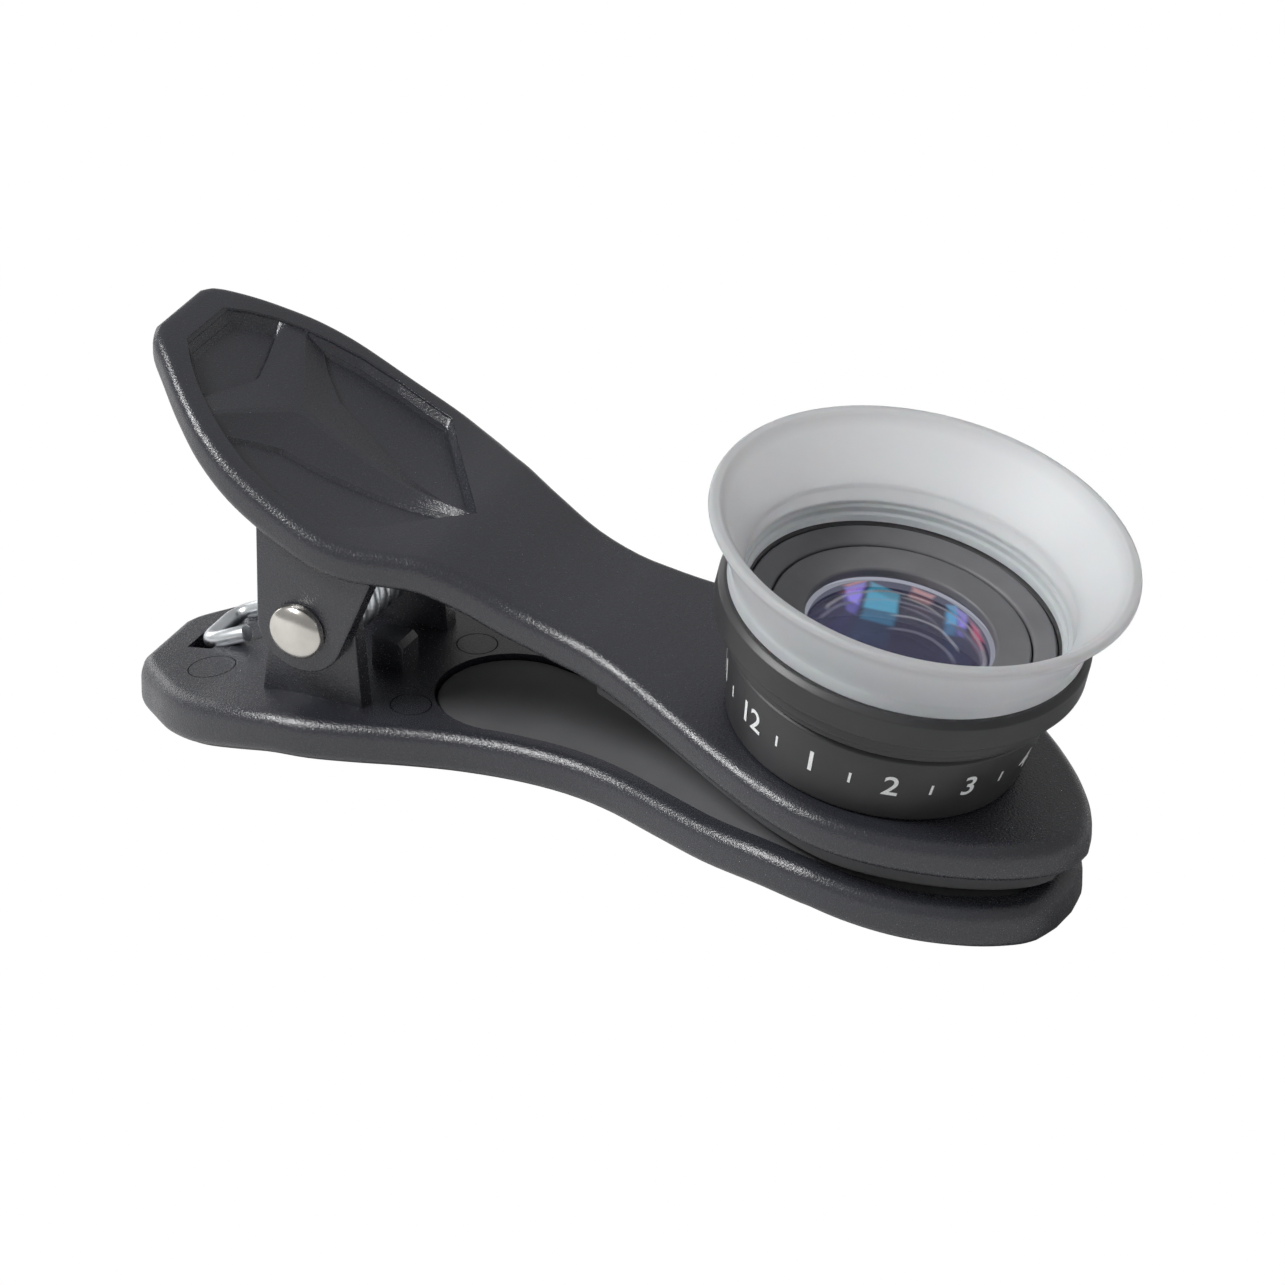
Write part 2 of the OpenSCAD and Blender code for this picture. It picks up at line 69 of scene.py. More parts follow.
# Half width of each arm along its length and height of its upper side, in mm from the seat
UPPER_PLAN = [(-66.5, 3.6), (-66.0, 4.9), (-64.2, 6.7), (-61.5, 9.0), (-58.4, 11.1), (-54.9, 12.4),
              (-50, 13.0), (-46, 13.05), (-42.5, 12.1), (-39, 10.5), (-35, 9.1), (-30, 8.2), (-25, 8.05),
              (-20.5, 8.8), (-15, 10.7), (-9, 12.9), (-3.6, 14.4), (1.5, 14.8), (6, 13.7), (11, 11.1),
              (14.9, 8.1), (17.4, 5.4), (18.9, 3.0), (19.6, 1.0)]
LOWER_PLAN = [(-68.6, 3.4), (-68.0, 4.7), (-65.8, 6.9), (-62.6, 9.7), (-59.0, 11.6), (-54.5, 12.8),
              (-50.5, 13.1), (-47.6, 12.9), (-44, 11.9), (-39.5, 10.3), (-35, 9.0), (-30, 8.2), (-25, 8.15),
              (-20.5, 9.0), (-15, 10.9), (-10, 12.6), (-5, 13.8), (0, 14.2), (4.5, 13.7), (9, 12.1),
              (13.3, 9.3), (16.2, 6.4), (17.6, 4.0), (18.1, 1.4)]
UPPER_RISE = [(-66.5, 23.7), (-63.7, 22.3), (-60.3, 20.2), (-56.8, 18.0), (-53, 15.75), (-49.2, 13.8),
              (-46, 12.4), (-43, 11.5), (-40, 11.05), (-37.5, 10.6), (-34, 9.25), (-30, 7.45), (-26, 6.2),
              (-23, 5.56), (-20, 20 * math.tan(LEAN))]
LOWER_RISE = [(-68.6, -9.45), (-60, -7.85), (-55, -6.7), (-51.5, -6.05), (-48, -5.85), (-40, -5.85),
              (-10, -5.85), (-4, -5.75), (1, -6.35)]
LOWER_MORE = [(-68.6, 1.6), (-60, 1.05), (-50, 0.5), (-8, 0.35), (2, 0.4), (10, 0.5), (18.1, 0.5)]

SIDE_STEPS = 110


def along(knots, x):
    """Value at x of the smooth curve through the knots."""
    i = 0
    while i < len(knots) - 2 and x >= knots[i + 1][0]:
        i += 1

    def slope(k):
        a, b = max(k - 1, 0), min(k + 1, len(knots) - 1)
        return (knots[b][1] - knots[a][1]) / (knots[b][0] - knots[a][0])

    h = knots[i + 1][0] - knots[i][0]
    t = (x - knots[i][0]) / h
    u = 1 - t
    return (knots[i][1] * u * u * (1 + 2 * t) + slope(i) * h * t * u * u
            + knots[i + 1][1] * t * t * (3 - 2 * t) - slope(i + 1) * h * t * t * u)


def upper_top(x):
    return along(UPPER_RISE, x) if x < -20 else -x * math.tan(LEAN)


def upper_tilt(x):
    return along(UPPER_RISE, x + 0.5) - along(UPPER_RISE, x - 0.5) if x < -20 else -math.tan(LEAN)


def lower_top(x):
    return along(LOWER_RISE, x) if x < 1 else -6.35 - (x - 1) * math.tan(LEAN)


class ClipSizes(bpy.types.PropertyGroup):
    """Sizes of the two arms and the hinge, in millimetres"""
    arm: FloatProperty(name="Arm", description="Thickness of both arms", default=3.4)
    edge: FloatProperty(name="Edge", description="Radius that rounds the arms' outer edges", default=1.25)
    rim_height: FloatProperty(name="Rim height", description="Height of the rim over the floor", default=0.45)
    pad_inset: FloatProperty(name="Pad inset", description="From the arm's side to the pad", default=2.3)
    rest_depth: FloatProperty(name="Rest depth", description="Depth of the thumb rest's panels", default=1.2)
    pin: FloatProperty(name="Pin", description="Diameter of the hinge pin", default=3.0)
    head: FloatProperty(name="Head", description="Diameter of the pin's domed head", default=5.0)
    wire: FloatProperty(name="Wire", description="Diameter of the spring wire", default=1.5)
    coil: FloatProperty(name="Coil", description="Mean radius of the spring's coil", default=2.9)


class LensSizes(bpy.types.PropertyGroup):
    """Sizes of the lens and the hood, in millimetres"""
    screw: FloatProperty(name="Screw", description="Diameter of the lens screw", default=17)
    barrel: FloatProperty(name="Barrel", description="Diameter of the barrel at its foot", default=25.5)
    barrel_height: FloatProperty(name="Barrel height", description="Height of the barrel", default=7.4)
    ring: FloatProperty(name="Ring", description="Diameter of the front ring", default=31.9)
    ring_top: FloatProperty(name="Ring top", description="Height of the front ring's face", default=12.6)
    glass: FloatProperty(name="Glass", description="Clear diameter of the front glass", default=16.3)
    rim: FloatProperty(name="Hood rim", description="Outer diameter of the hood's rim", default=36.7)
    rim_height: FloatProperty(name="Hood height", description="Height of the hood's rim", default=19.8)
    steps: IntProperty(name="Steps", description="Faces round each turned piece", default=160)


def colour(name, default, text):
    """A colour setting."""
    return FloatVectorProperty(name=name, description=text, subtype="COLOR", size=4, min=0, max=1,
                               default=(*default, 1))


class ClipColours(bpy.types.PropertyGroup):
    """Colours of the clip's materials"""
    arm: colour("Arms", (0.025, 0.026, 0.033), "Charcoal plastic of both arms")
    pad: colour("Pads", (0.095, 0.096, 0.10), "Dark rubber of the jaw pads")
    nickel: colour("Rivet", (0.80, 0.77, 0.72), "Bright plating of the rivet")
    zinc: colour("Spring", (0.86, 0.89, 0.92), "Plated wire of the spring")
    housing: colour("Housing", (0.033, 0.033, 0.035), "Black finish of the lens housing")
    mark: colour("Marks", (0.85, 0.86, 0.86), "White paint of the scale")
    hood: colour("Hood", (0.90, 0.91, 0.925), "Frosted plastic of the hood")
    floor: colour("Floor", (0.72, 0.72, 0.72), "Floor and backdrop")


# Materials

class Sock:
    """A shader socket that Python's operators work on."""
    def __init__(self, tree, out):
        self.tree = tree
        self.out = out

    def math(self, op, *values):
        n = self.tree.nodes.new("ShaderNodeMath")
        n.operation = op
        for i, v in enumerate(values):
            if isinstance(v, Sock):
                self.tree.links.new(v.out, n.inputs[i])
            else:
                n.inputs[i].default_value = v
        return Sock(self.tree, n.outputs[0])

    def __add__(self, o): return self.math("ADD", self, o)
    def __radd__(self, o): return self.math("ADD", o, self)
    def __sub__(self, o): return self.math("SUBTRACT", self, o)
    def __rsub__(self, o): return self.math("SUBTRACT", o, self)
    def __mul__(self, o): return self.math("MULTIPLY", self, o)
    def __rmul__(self, o): return self.math("MULTIPLY", o, self)
    def __truediv__(self, o): return self.math("DIVIDE", self, o)
    def __pow__(self, o): return self.math("POWER", self, o)
    def clamped(self): return self.math("MINIMUM", self.math("MAXIMUM", self, 0.0), 1.0)
    def step(self, low, high): return ((self - low) / (high - low)).clamped()


def make_node(tree, kind, settings=None, out=0, **links):
    """Adds a node, sets its settings first and then its sockets, and returns one output."""
    n = tree.nodes.new(kind)
    for key, value in (settings or {}).items():
        if key == "stops":
            ramp = n.color_ramp
            while len(ramp.elements) < len(value):
                ramp.elements.new(0.5)
            for element, (place, shade) in zip(ramp.elements, value):
                element.position = place
                element.color = shade
        else:
            setattr(n, key, value)
    for key, value in links.items():
        name = key.replace("_", " ").title()
        socket = n.inputs[int(key[1:])] if key[0] == "i" and key[1:].isdigit() else n.inputs[name]
        if isinstance(value, Sock):
            tree.links.new(value.out, socket)
        else:
            socket.default_value = value
    return Sock(tree, n.outputs[out])


class Finish:
    """A material with a Principled shader, and the nodes that vary it over a piece."""
    def __init__(self, name, **constants):
        self.material = bpy.data.materials.new(name)
        self.material.use_nodes = True
        self.tree = self.material.node_tree
        self.shader = self.tree.nodes["Principled BSDF"]
        for key, value in constants.items():
            self.shader.inputs[key.replace("_", " ").title().replace("Ior", "IOR")].default_value = value
        coords = self.tree.nodes.new("ShaderNodeTexCoord")
        self.place = Sock(self.tree, coords.outputs["Object"])

    def node(self, kind, settings=None, out=0, **links):
        return make_node(self.tree, kind, settings, out, **links)

    def noise(self, scale, detail=3.0, rough=0.55, vector=None):
        return self.node("ShaderNodeTexNoise", vector=vector or self.place, scale=scale, detail=detail,
                         roughness=rough)

    def mix(self, factor, a, b, how="MIX"):
        settings = {"data_type": "RGBA", "blend_type": how}
        return self.node("ShaderNodeMix", settings, out=2, i0=factor, i6=a, i7=b)

    def mottled(self, cloud, base, low, high, start=0.3):
        """A colour that drifts between two shades of its base."""
        return self.mix(cloud.step(start, 0.7), shade(base, low), shade(base, high))

    def set(self, name, value):
        self.tree.links.new(value.out, self.shader.inputs[name])

    def bump(self, height, strength, depth, under=None):
        links = {"height": height, "strength": strength, "distance": depth}
        if under:
            links["normal"] = under
        made = self.node("ShaderNodeBump", **links)
        self.set("Normal", made)
        return made


def shade(value, factor):
    return tuple(min(1, c * factor) for c in value[:3]) + (1,)


def moulded_plastic(name, base):
    """Charcoal plastic with a fine sparkling grain that edges polish."""
    f = Finish(name, specular_ior_level=0.85)
    grain = f.noise(5200, 3.0, 0.6)
    speck = f.noise(4200, 1.0, 0.5).step(0.62, 0.72)
    cloud = f.noise(45, 3.0)
    tone = f.mottled(cloud, base, 0.9, 1.12)
    f.set("Base Color", f.mix(speck * 0.3, tone, shade(base, 2.2)))
    f.set("Roughness", 0.17 + 0.06 * cloud + 0.12 * grain)
    f.bump(grain, 0.7, 0.00008)
    return f.material


def pad_rubber(name, base):
    """Soft rubber, matt and a little dusty."""
    f = Finish(name, specular_ior_level=0.35)
    grain = f.noise(5200, 3.0, 0.65)
    cloud = f.noise(70, 3.0)
    f.set("Base Color", f.mottled(cloud, base, 0.85, 1.2))
    f.set("Roughness", 0.62 + 0.16 * grain + 0.06 * cloud)
    f.bump(grain, 0.4, 0.00004)
    return f.material


def plated_metal(name, base, rough, scale):
    """Bright plating with faint drag marks."""
    f = Finish(name, metallic=1.0)
    marks = f.noise(scale, 4.0, 0.6)
    cloud = f.noise(260, 3.0)
    f.set("Base Color", f.mottled(cloud, base, 0.82, 1.08, 0.35))
    f.set("Roughness", rough + 0.14 * marks - 0.04 * cloud)
    f.bump(marks, 0.18, 0.00003)
    return f.material


def lens_space(f):
    """Place of a point about the lens axis and its distance from the axis, in metres."""
    moved = f.node("ShaderNodeMapping", {"vector_type": "TEXTURE"}, vector=f.place,
                   location=tuple(SEAT * MM), rotation=(0.0, LEAN, 0.0))
    split = f.tree.nodes.new("ShaderNodeSeparateXYZ")
    f.tree.links.new(moved.out, split.inputs[0])
    x, y, z = (Sock(f.tree, o) for o in split.outputs)
    radius = (x * x + y * y) ** 0.5
    return x, y, z, radius


def turned_black(name, base, rough):
    """Black finish over fine turning marks that run round the lens axis."""
    f = Finish(name, specular_ior_level=0.5)
    x, y, z, radius = lens_space(f)
    marks = radius * 41000 + z * 37000
    rings = marks.math("SINE", marks) * 0.5 + 0.5
    grain = f.noise(5200, 2.0, 0.6)
    cloud = f.noise(90, 3.0)
    f.set("Base Color", f.mottled(cloud, base, 0.8, 1.3))
    f.set("Roughness", rough + 0.10 * cloud + 0.08 * grain)
    f.bump(rings * 0.5 + grain * 0.5, 0.22, 0.00002)
    return f.material


def mark_paint(name, base):
    """White printed paint with worn edges."""
    f = Finish(name, specular_ior_level=0.4)
    grain = f.noise(6500, 3.0, 0.7)
    f.set("Base Color", f.mix(grain.step(0.3, 0.55), shade(base, 0.78), base))
    f.set("Roughness", 0.45 + 0.2 * grain)
    return f.material


def coated_glass(name, tint, rough, painted_glow_patches=()):
    """Clear glass with a coating; with a list of patches, its emission glows with painted reflections:
    coloured patches, grey arcs and a pale ring at the edge.
    """
    f = Finish(name, ior=1.36 if painted_glow_patches else 1.52, transmission_weight=1.0, specular_ior_level=0.12)
    smear = f.noise(120, 3.0)
    f.set("Base Color", f.mix(smear, shade(tint, 0.96), shade(tint, 1.0)))
    f.set("Roughness", rough + 0.02 * smear)
    if painted_glow_patches:
        # The emission paints reflections on the front glass, so it glows with them under any light
        f.set("Emission Color", painted_reflections(f, painted_glow_patches))
        f.shader.inputs["Emission Strength"].default_value = 1.0
    return f.material


def painted_reflections(f, patches):
    """Painted reflections that glow: coloured four sided patches, thin grey arcs about the lens axis and a
    pale ring at the glass's edge, over a dark glow, in millimetres.
    """
    x, y, z, radius = lens_space(f)
    warp = f.noise(260, 2.0)
    x, y = x * 1000 + (warp - 0.5) * 0.9, y * 1000 + (f.noise(190, 2.0) - 0.5) * 0.9
    spot = f.node("ShaderNodeCombineXYZ", x=x, y=y, z=1.0)
    # Painted glow: a dark navy base under the painted reflections
    seen = f.mix(warp, (0.004, 0.005, 0.012, 1), (0.012, 0.010, 0.022, 1))
    # Each listed patch is a coloured painted reflection
    for glow, points in patches:
        cx, cy = (sum(p[i] for p in points) / len(points) for i in (0, 1))
        inside = None
        for (ax, ay), (bx, by) in zip(points, points[1:] + points[:1]):
            nx, ny = ay - by, bx - ax
            size = math.hypot(nx, ny) * (1 if nx * (cx - ax) + ny * (cy - ay) > 0 else -1)
            line = (nx / size, ny / size, -(nx * ax + ny * ay) / size)
            near = f.node("ShaderNodeVectorMath", {"operation": "DOT_PRODUCT"}, out=1, i0=spot, i1=line)
            inside = near if inside is None else inside.math("MINIMUM", inside, near)
        cloud = inside.step(-0.1, 0.3) * (0.55 + 0.6 * warp)
        seen = f.mix(cloud, seen, (*glow, 1))
    # Painted reflections: thin grey arcs
    for cx, cy, r, low, level in ((1.5, -1.5, 4.25, 1.2, 0.16), (-0.4, 1.5, 3.75, 4.6, 0.14),
                                  (0.6, -1.0, 7.15, -1.5, 0.13)):
        away = ((x - cx) * (x - cx) + (y - cy) * (y - cy)) ** 0.5 - r
        line = 1 - away.math("ABSOLUTE", away).step(0.08, 0.26)
        seen = f.mix(line * y.step(low, low + 0.6), seen, (level, level, level * 1.1, 1))
    # Painted glint: a pale ring at the edge of the clear glass
    edge = (radius * 1000).step(7.78, 7.86)
    return f.mix(edge, seen, (0.16, 0.165, 0.18, 1))


# Colours and corners, in mm, of the reflections painted on the front glass as a glow
PAINTED_REFLECTION_PATCHES = [((0.04, 0.20, 0.29), [(-5.55, 5.57), (-2.48, 5.23), (-1.31, 1.92), (-4.02, 0.83), (-4.98, 3.56)]),
           ((0.16, 0.13, 0.45), [(-6.9, 2.95), (-5.6, 5.67), (-4.97, 3.25), (-4.03, 0.99), (-5.37, 0.95)]),
           ((0.38, 0.16, 0.14), [(-7.12, 3.05), (-6.3, 5.63), (-5.55, 5.57), (-6.48, 3.36)]),
           ((0.36, 0.17, 0.15), [(-2.6, 7.5), (-0.3, 7.75), (-0.3, 6.75), (-2.2, 6.55)]),
           ((0.05, 0.20, 0.34), [(0.83, 7.05), (1.62, 8.16), (3.16, 4.57), (2.26, 3.99)]),
           ((0.17, 0.14, 0.44), [(1.5, 7.5), (2.8, 7.3), (3.85, 4.93), (3.16, 4.57)]),
           ((0.30, 0.06, 0.10), [(2.9, 6.9), (4.7, 6.1), (6.0, 4.6), (5.0, 4.3)])]


def painted_depth_shade(name):
    """Painted shade: an opaque near-black finish for the middle element, standing for the dark depth seen
    behind the front lens, darker towards its edge.
    """
    f = Finish(name, specular_ior_level=0.3)
    x, y, z, radius = lens_space(f)
    # Painted shade: darker towards the edge, a little lighter navy in the middle
    ring = (radius * 1000).step(6.9, 6.0)
    f.set("Base Color", f.mix(ring, (0.004, 0.004, 0.006, 1), (0.010, 0.010, 0.022, 1)))
    f.set("Roughness", 0.10 + 0.08 * f.noise(300, 2.0))
    return f.material


def frosted(name, base):
    """Milky translucent plastic with a frosted skin and a slightly denser lip."""
    f = Finish(name, ior=1.46, transmission_weight=0.7, subsurface_weight=0.2, subsurface_scale=0.004)
    x, y, z, radius = lens_space(f)
    grain = f.noise(3800, 3.0, 0.6)
    cloud = f.noise(60, 3.0)
    tone = f.mottled(cloud, base, 0.96, 1.04)
    lip = (radius * 1000).step(16.6, 17.2) * (z * 1000).step(18.2, 19.0)
    f.set("Base Color", f.mix(lip * 0.8, tone, shade(base, 0.82)))
    f.set("Roughness", 0.48 + 0.14 * grain)
    f.bump(grain, 0.25, 0.00003)
    return f.material


def finish(name):
    """The material of that name, made when it is first asked for."""
    found = bpy.data.materials.get("clip_" + name)
    if found:
        return found
    c = bpy.context.scene.clip_colours
    makers = {
        "arm": lambda n: moulded_plastic(n, c.arm),
        "pad": lambda n: pad_rubber(n, c.pad),
        "nickel": lambda n: plated_metal(n, c.nickel, 0.16, 900),
        "zinc": lambda n: plated_metal(n, c.zinc, 0.28, 1500),
        "housing": lambda n: turned_black(n, c.housing, 0.34),
        # Bezels and inner rings: the housing black made 3.3 times lighter, a painted reflection standing in
        # for the sheen on the bezels
        "bezel": lambda n: turned_black(n, shade(c.housing, 3.3), 0.42),
        "mark": lambda n: mark_paint(n, c.mark),
        "glass": lambda n: coated_glass(n, (0.97, 0.98, 1.0), 0.0),
        # Front glass: its emission glows with painted reflections
        "front": lambda n: coated_glass(n, (0.30, 0.30, 0.40), 0.0, PAINTED_REFLECTION_PATCHES),
        # Middle element: opaque near-black painted shade for the depth behind the front lens
        "inner": painted_depth_shade,
        "hood": lambda n: frosted(n, c.hood),
    }
    return makers[name]("clip_" + name)


# Making and placing pieces

def into_frame():
    """From millimetres about the lens seat to the frame's metres."""
    return Matrix.Scale(MM, 4) @ Matrix.Translation(SEAT)


def onto_lens_axis():
    """From millimetres about the lens axis, foot on the seat, to the frame's metres."""
    return into_frame() @ Matrix.Rotation(LEAN, 4, "Y")


def piece(name, bm, material, slot, body, *nodes, place=None, sharp=35, crisp=None):
    """Turns a finished bmesh into a piece that rides on a body and stands for CAD nodes."""
    bmesh.ops.recalc_face_normals(bm, faces=bm.faces)
    bm.edges.index_update()
    creases = [e.index for e in bm.edges if crisp and len(e.link_faces) == 2
               and e.calc_face_angle() > 0.1 and all(crisp(v.co) for v in e.verts)]
    mesh = bpy.data.meshes.new(name)
    bm.to_mesh(mesh)
    bm.free()
    mesh.transform(place or into_frame())
    mesh.shade_smooth()
    mesh.set_sharp_from_angle(angle=math.radians(sharp))
    for i in creases:
        mesh.edges[i].use_edge_sharp = True
    mesh.materials.append(finish(material))
    obj = bpy.data.objects.new(name, mesh)
    bpy.context.scene.collection.objects.link(obj)
    if body:
        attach(obj, body)
    if nodes:
        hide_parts(*nodes)
    return obj


def bevel(bm, edges, width, segments):
    """Rounds edges."""
    bmesh.ops.bevel(bm, geom=list(edges), offset=width, offset_type="OFFSET", segments=segments,
                    profile=0.5, affect="EDGES", clamp_overlap=True, material=-1)


def level_edges(bm):
    """The edges that lie level."""
    return [e for e in bm.edges if abs(e.verts[0].co.z - e.verts[1].co.z) < 1e-6]


def flat_face(bm, points, z=0.0):
    """A face through points that lie at one height."""
    return bm.faces.new([bm.verts.new((x, y, z)) for x, y in points])


def raised(bm, face, height):
    """Extrudes a face straight up and returns the new one."""
    made = bmesh.ops.extrude_face_region(bm, geom=[face])["geom"]
    verts = [v for v in made if isinstance(v, bmesh.types.BMVert)]
    bmesh.ops.translate(bm, verts=verts, vec=(0, 0, height))
    return next(f for f in made if isinstance(f, bmesh.types.BMFace))


def side(plan, count, inset=0.0):
    """Points of one side of an arm's outline, closer at its ends, moved inwards."""
    a, b = plan[0][0], plan[-1][0]
    points = []
    for i in range(count + 1):
        u = i / count
        x = a + (b - a) * (u - 0.11 * math.sin(2 * math.pi * u))
        points.append(Vector((x, along(plan, x))))
    moved = []
    for i, p in enumerate(points):
        before = points[i - 1] if i else Vector((p.x, -p.y))
        after = points[i + 1] if i < count else Vector((p.x, -p.y))
        d = (after - before).normalized()
        q = p - inset * Vector((-d.y, d.x))
        moved.append((q.x, max(q.y, 0.15)))
    return moved


def outline(plan, count):
    """The whole closed outline of an arm."""
    half = side(plan, count)
    return half + [(x, -y) for x, y in reversed(half)]


def slab(plan, count, thick, edge):
    """A flat slab on an arm's outline, its rims and end corners rounded, and its top face."""
    bm = bmesh.new()
    top = raised(bm, flat_face(bm, outline(plan, count)), thick)
    bm.normal_update()
    bevel(bm, level_edges(bm), edge, 6)
    bm.normal_update()
    tops = sorted(bm.faces, key=lambda f: f.calc_area() * (f.normal.z > 0.99), reverse=True)
    return bm, tops[0]


def bend(bm, plan, thick, low, top, spacing=0.7):
    """Cuts a flat slab across at many places and bends it between two curved sides."""
    a, b = plan[0][0], plan[-1][0]
    for i in range(1, int((b - a) / spacing)):
        bmesh.ops.bisect_plane(bm, geom=bm.verts[:] + bm.edges[:] + bm.faces[:], dist=1e-5,
                               plane_co=(a + i * spacing, 0, 0), plane_no=(1, 0, 0))
    for v in bm.verts:
        l, t = low(v.co.x), top(v.co.x)
        v.co.z = l + (t - l) * v.co.z / thick


# A sound cut is closed and keeps this share of the body; a cut that isn't is tried again so far aside
LEAST_KEPT = 0.4
TRIES = 8
ASIDE = 0.0013


def carve(bm, cutters):
    """Takes closed shapes out of a bmesh, and again a hair aside where the result isn't sound."""
    def as_object(shape, name):
        mesh = bpy.data.meshes.new(name)
        shape.to_mesh(mesh)
        shape.free()
        obj = bpy.data.objects.new(name, mesh)
        bpy.context.scene.collection.objects.link(obj)
        return obj

    bmesh.ops.recalc_face_normals(bm, faces=bm.faces)
    volume = abs(bm.calc_volume())
    body = as_object(bm, "carved")
    tools = []
    for shape in cutters:
        bmesh.ops.recalc_face_normals(shape, faces=shape.faces)
        tools.append(as_object(shape, "cutter"))
        change = body.modifiers.new("cut", "BOOLEAN")
        change.operation = "DIFFERENCE"
        change.solver = "EXACT"
        change.object = tools[-1]
    for attempt in range(TRIES):
        for tool in tools:
            tool.location.x = ASIDE * attempt
        bpy.context.view_layer.update()
        result = bmesh.new()
        result.from_object(body, bpy.context.evaluated_depsgraph_get())
        if abs(result.calc_volume()) > LEAST_KEPT * volume and all(e.is_manifold for e in result.edges):
            break
    for obj in [body, *tools]:
        mesh = obj.data
        bpy.data.objects.remove(obj)
        bpy.data.meshes.remove(mesh)
    bmesh.ops.remove_doubles(result, verts=result.verts, dist=1e-5)
    return result


def lens_hole(radius):
    """Cutter for a round hole about the lens axis."""
    hole = bmesh.new()
    bmesh.ops.create_cone(hole, cap_ends=True, segments=96, radius1=radius, radius2=radius, depth=30)
    bmesh.ops.transform(hole, verts=hole.verts, matrix=Matrix.Rotation(LEAN, 4, "Y"))
    return hole


def prism(points, low, high):
    """A straight prism on a flat outline."""
    bm = bmesh.new()
    raised(bm, flat_face(bm, points, low), high - low)
    return bm


def plate(points, y0, y1, edge=0.25):
    """A plate seen from the side as points of (x, z), between two places across the clip."""
    bm = bmesh.new()
    raised(bm, flat_face(bm, points, 0), y1 - y0)
    bm.normal_update()
    bevel(bm, level_edges(bm), edge, 3)
    bmesh.ops.transform(bm, verts=bm.verts, matrix=Matrix(
        ((1, 0, 0, 0), (0, 0, 1, y0), (0, 1, 0, 0), (0, 0, 0, 1))))
    return bm


def joined(*shapes):
    """Puts several shapes in one bmesh."""
    whole = shapes[0]
    for shape in shapes[1:]:
        mesh = bpy.data.meshes.new("part")
        shape.to_mesh(mesh)
        shape.free()
        whole.from_mesh(mesh)
        bpy.data.meshes.remove(mesh)
    return whole


def mirrored_copy(bm):
    """The shape and its mirror image across the clip."""
    twin = bm.copy()
    bmesh.ops.scale(twin, verts=twin.verts, vec=(1, -1, 1))
    bmesh.ops.reverse_faces(twin, faces=twin.faces)
    return joined(bm, twin)


def turned(section, steps):
    """A ring or disc turned from (radius, height) points."""
    bm = bmesh.new()
    verts = [bm.verts.new((r, 0, z)) for r, z in section]
    closed = all(r > 1e-6 for r, z in section)
    edges = [bm.edges.new((a, b)) for a, b in zip(verts, verts[1:])]
    if closed:
        edges.append(bm.edges.new((verts[-1], verts[0])))
    bmesh.ops.spin(bm, geom=verts + edges, axis=(0, 0, 1), cent=(0, 0, 0), angle=2 * math.pi,
                   steps=steps, use_merge=True)
    bmesh.ops.remove_doubles(bm, verts=bm.verts, dist=1e-5)
    bmesh.ops.recalc_face_normals(bm, faces=bm.faces)
    bm.normal_update()
    return bm


def rounded(section, radius):
    """Rounds the corners of a closed section, less where its sides are short."""
    points = []
    n = len(section)
    for i, corner in enumerate(section):
        p = Vector(corner)
        da, db = Vector(section[i - 1]) - p, Vector(section[(i + 1) % n]) - p
        if da.length < 1e-6 or db.length < 1e-6:
            points.append(tuple(p))
            continue
        r = min(radius, 0.45 * da.length, 0.45 * db.length)
        s, e = p + da.normalized() * r, p + db.normalized() * r
        for k in range(5):
            t = k / 4
            points.append(tuple(s * (1 - t) ** 2 + 2 * t * (1 - t) * p + e * t * t))
    return points


# Arms

REST_START, REST_SIDE, REST_HUB, REST_APEX = -63.7, -58.7, -54.5, -37.6
REST_EDGE = [(-63.7, 3.1), (-62.4, 4.9), (-60.7, 6.7), (-58.7, 8.2), (-56.8, 9.3), (-54.2, 10.4), (-51, 11.0),
             (-46, 11.05), (-37.6, 0.02)]
STAR_FRONT = [(-59, 12), (-57.3, 8.6), (-55.5, 6.5), (-53.4, 4.65), (-51.5, 4.1), (-49.5, 3.5), (-47.9, 2.9),
              (-44.8, 1.85), (-41.4, 0.95), (-38.3, 0.35)]
STAR_REAR = [(-60.4, 6.7), (-59.4, 3.3), (-58.6, 0), (-54.4, -17)]


def straight(knots, x):
    """Straight lines through the knots, level beyond their ends."""
    for (x0, y0), (x1, y1) in zip(knots, knots[1:]):
        if x <= x1:
            return y0 + (y1 - y0) * max(0.0, x - x0) / (x1 - x0)
    return knots[-1][1]


def rest_y(x):
    return straight(REST_EDGE, x)


def rest_foot(x):
    return min(rest_y(x) - 0.5, (REST_APEX - x) * 1.31 - 0.8)


def recess_foot(x):
    return max(0.01, rest_y(x) - 0.25)


def crest_line(x):
    return (REST_HUB - x) * 8.2 / (REST_HUB - REST_SIDE)


def crest_y(x):
    return max(0.05, crest_line(x) + 0.05)


def front_foot(x):
    return straight(STAR_FRONT, x)


def rear_y(x):
    return min(rest_y(x) - 0.06, crest_line(x) + 0.01)


def rear_foot(x):
    return min(rest_y(x) - 0.5, straight(STAR_REAR, x))


def shifted(line, d):
    return lambda x: line(x) + d


def negated(line):
    return lambda x: -line(x)


